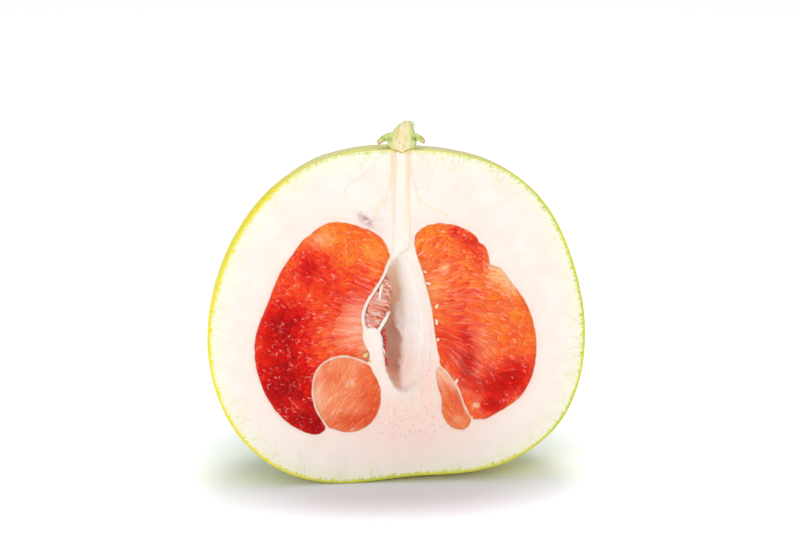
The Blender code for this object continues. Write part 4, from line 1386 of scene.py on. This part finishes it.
def sepal_shape(angle, reach, half_width):
    """A thick drooping sepal with a ragged, curled, drying end."""
    turn = math.radians(angle)
    points, tips = [], []
    for under in (0, 1):
        for along in np.linspace(0, 1, SEPAL_STEPS):
            width = half_width * (1 - 0.97 * along ** 2.2) ** 0.8
            thick = 2.6 * (1 - along ** 2.5) + 0.06
            for lane in np.linspace(-1, 1, SEPAL_LANES):
                ragged = 0.35 * wavy(lane * 3 + angle, along * 4, 2)
                radius = (reach - SEPAL_ROOT) * along * (1 - 0.10 * lane ** 2)
                radius += SEPAL_ROOT + ragged * along
                height = SEPAL_TOP + 0.9 * math.sin(math.pi * along * 0.9)
                height -= SEPAL_DROOP * along ** 2 + lane ** 2 * (0.3 + along)
                height += ragged * 0.6 - under * thick
                x = STEM_X + radius * math.cos(turn) - width * lane * math.sin(turn)
                y = radius * math.sin(turn) + width * lane * math.cos(turn)
                points.append((x, CUT + max(y, 0.0) + 0.03 * along, height))
                tips.append(along + 0.25 * lane ** 2)
    count = SEPAL_STEPS * SEPAL_LANES
    top = np.arange(count).reshape(SEPAL_STEPS, SEPAL_LANES)
    border = np.concatenate([top[0], top[1:, -1], top[-1, -2::-1], top[-2:0:-1, 0]])
    after = np.roll(border, -1)
    faces = bands(SEPAL_STEPS, SEPAL_LANES, False)
    faces += [tuple(count + index for index in face)[::-1] for face in faces]
    faces += zip(border, after, count + after, count + border)
    return points, faces, tips


def make_sepal_sections(green):
    """The two sepals that the cut went through: their flat green sections beside the stem."""
    for side, outline in SEPAL_SECTIONS.items():
        loop = soft(np.array(outline), 0.3, 0.35)
        flat, faces, _ = triangulated([loop], lattice(grown(loop, -0.2), 0.45))
        faces = faces[inside(flat[faces].mean(axis=1), loop)]
        depth = 0.02 + 0.08 * noise_at(flat, 1.1, 5.0)
        depth += 0.25 * np.exp(-distance_to(flat, loop) / 0.25)
        points = as_3d(flat, np.maximum(depth, 0))
        tip = fade(6.5, 9.2, np.abs(flat[:, 0] - STEM_X))
        make_joined("pomelo_sepal_section_" + side, [(points, facing_front(points, faces))],
                    green, {"tip": tip})


def make_stem():
    green = stem_green_material()
    make_stem_body(green)
    sepals = [sepal_shape(*sepal) for sepal in SEPALS]
    make_joined("pomelo_sepals", [(points, faces) for points, faces, _ in sepals], green,
                {"tip": np.concatenate([tips for _, _, tips in sepals])})
    path = path_3d(np.array(STEM_FLAP) + (STEM_X, 0, 0), 0.4)
    radii = np.interp(np.linspace(0, 1, len(path)), (0, 0.4, 1), (0.5, 0.8, 0.25))
    make_joined("pomelo_stem_flap", [tube(path, radii, 8, 0.7)],
                plain_material("stem_flap", (0.84, 0.80, 0.52), 0.6, 0.2))
    make_sepal_sections(green)
    seam = line_shape(np.array(STEM_SEAM) + (STEM_X, 0), 0.30, 0.05, 0.7)
    make_joined("pomelo_stem_seam", [seam],
                plain_material("stem_seam", (0.74, 0.45, 0.07), 0.5, 0.6, 0.7))


# ---------------------------------------------------------------- surroundings

FLOOR_HALF = 6
LIT = Vector((0, 0, 0.07))
# The floor's glow: from where to where it grows, in millimetres, and its least and most.
FLOOR_GLOW = (50, 108, 0.02, 0.60)
# A cool white, since the fruit throws warm light on it.
PAPER = (0.82, 0.85, 0.90)


def make_floor():
    """White paper that glows a little, so that it stays white far away and keeps its shadow."""
    data = bpy.data.meshes.new("floor")
    corners = [(x * FLOOR_HALF, y * FLOOR_HALF, 0) for x, y in ((-1, -1), (1, -1), (1, 1), (-1, 1))]
    data.from_pydata(corners, [], [(0, 1, 2, 3)])
    floor = new_object("floor", data)
    floor.location.z = -0.0002
    n = Nodes("floor_paper")
    away = n.put("VectorMath", {0: n.place()}, "Value", operation="LENGTH")
    glow = n.between(away, *FLOOR_GLOW)
    data.materials.append(n.finish(PAPER, 0.9, Specular_IOR_Level=0, Emission_Strength=glow,
                                   Emission_Color=(0.82, 0.82, 0.82)))


def area_light(name, place, size, power):
    data = bpy.data.lights.new(name, "AREA")
    data.shape = "RECTANGLE"
    data.size, data.size_y = size
    data.energy = power
    light = new_object(name, data)
    light.location = place
    aim = LIT - Vector(place)
    light.rotation_euler = aim.to_track_quat("-Z", "Y").to_euler()


def make_world():
    """A white studio: brightest low down, so that the far floor and the backdrop are white."""
    world = bpy.data.worlds.new("studio")
    world.use_nodes = True
    tree = world.node_tree
    background = tree.nodes["Background"]
    background.inputs["Color"].default_value = (1, 1, 1, 1)
    place = tree.nodes.new("ShaderNodeTexCoord")
    split = tree.nodes.new("ShaderNodeSeparateXYZ")
    tree.links.new(place.outputs["Generated"], split.inputs[0])
    fading = tree.nodes.new("ShaderNodeMapRange")
    for key, value in (("From Min", 0.25), ("From Max", 1), ("To Min", 0.70), ("To Max", 0.45)):
        fading.inputs[key].default_value = value
    tree.links.new(split.outputs["Z"], fading.inputs["Value"])
    tree.links.new(fading.outputs["Result"], background.inputs["Strength"])
    bpy.context.scene.world = world


def make_camera():
    """A little above the fruit and slightly to its left."""
    turn, rise, away = math.radians(-6), math.radians(12), 0.89
    target = Vector((0.0009, CUT * MM, 0.0899))
    back = Vector((math.sin(turn) * math.cos(rise), -math.cos(turn) * math.cos(rise),
                   math.sin(rise)))
    data = bpy.data.cameras.new("camera")
    data.lens = 100
    camera = new_object("camera", data)
    camera.location = target + back * away
    camera.rotation_euler = (-back).to_track_quat("-Z", "Y").to_euler()
    bpy.context.scene.camera = camera


# ---------------------------------------------------------------- the whole

RED = ((0.0, (0.93, 0.42, 0.16)), (0.2, (0.94, 0.26, 0.020)), (0.4, (0.87, 0.13, 0.010)),
       (0.55, (0.85, 0.045, 0.006)), (0.72, (0.70, 0.007, 0.003)), (1.0, (0.37, 0.002, 0.004)))
ORANGE = ((0.0, (0.93, 0.44, 0.22)), (0.3, (0.88, 0.24, 0.075)), (0.6, (0.80, 0.11, 0.022)),
          (1.0, (0.6, 0.03, 0.02)))
PINK = ((0.0, (0.90, 0.55, 0.48)), (0.5, (0.78, 0.26, 0.20)), (1.0, (0.50, 0.05, 0.03)))


def main():
    make_camera()
    make_world()
    area_light("key_left", (-0.80, -1.20, 0.50), (0.4, 0.4), 5.6)
    area_light("top", (0.12, 0.45, 1.4), (0.6, 0.4), 7)
    bpy.context.scene.view_settings.view_transform = "Standard"
    make_floor()
    dome = Dome()
    make_skin(dome)
    rim = rim_loop(dome)
    loops = segment_loops()
    hollow = Hollow(loops.pop("opening"))
    make_cut_face(rim, loops, hollow)
    make_hollow(hollow, loops)
    make_lines(rim, loops, hollow)
    orange = pulp_material("pulp_orange", ORANGE, (0.93, 0.56, 0.40))
    finishes = {"pulp_left": pulp_material("pulp_rosy", RED, (0.92, 0.47, 0.36)),
                "pulp_right": pulp_material("pulp_amber", RED, (0.95, 0.56, 0.32)),
                "pulp_lower_left": orange, "pulp_lower_right": orange}
    for node, loop in loops.items():
        make_pulp("pomelo_" + node, loop, PULP[node], finishes[node], 0, [node])
    make_torn_segment(pulp_material("pulp_pink", PINK, (0.90, 0.55, 0.48)))
    make_flaps(hollow)
    make_seeds()
    make_stem()


main()
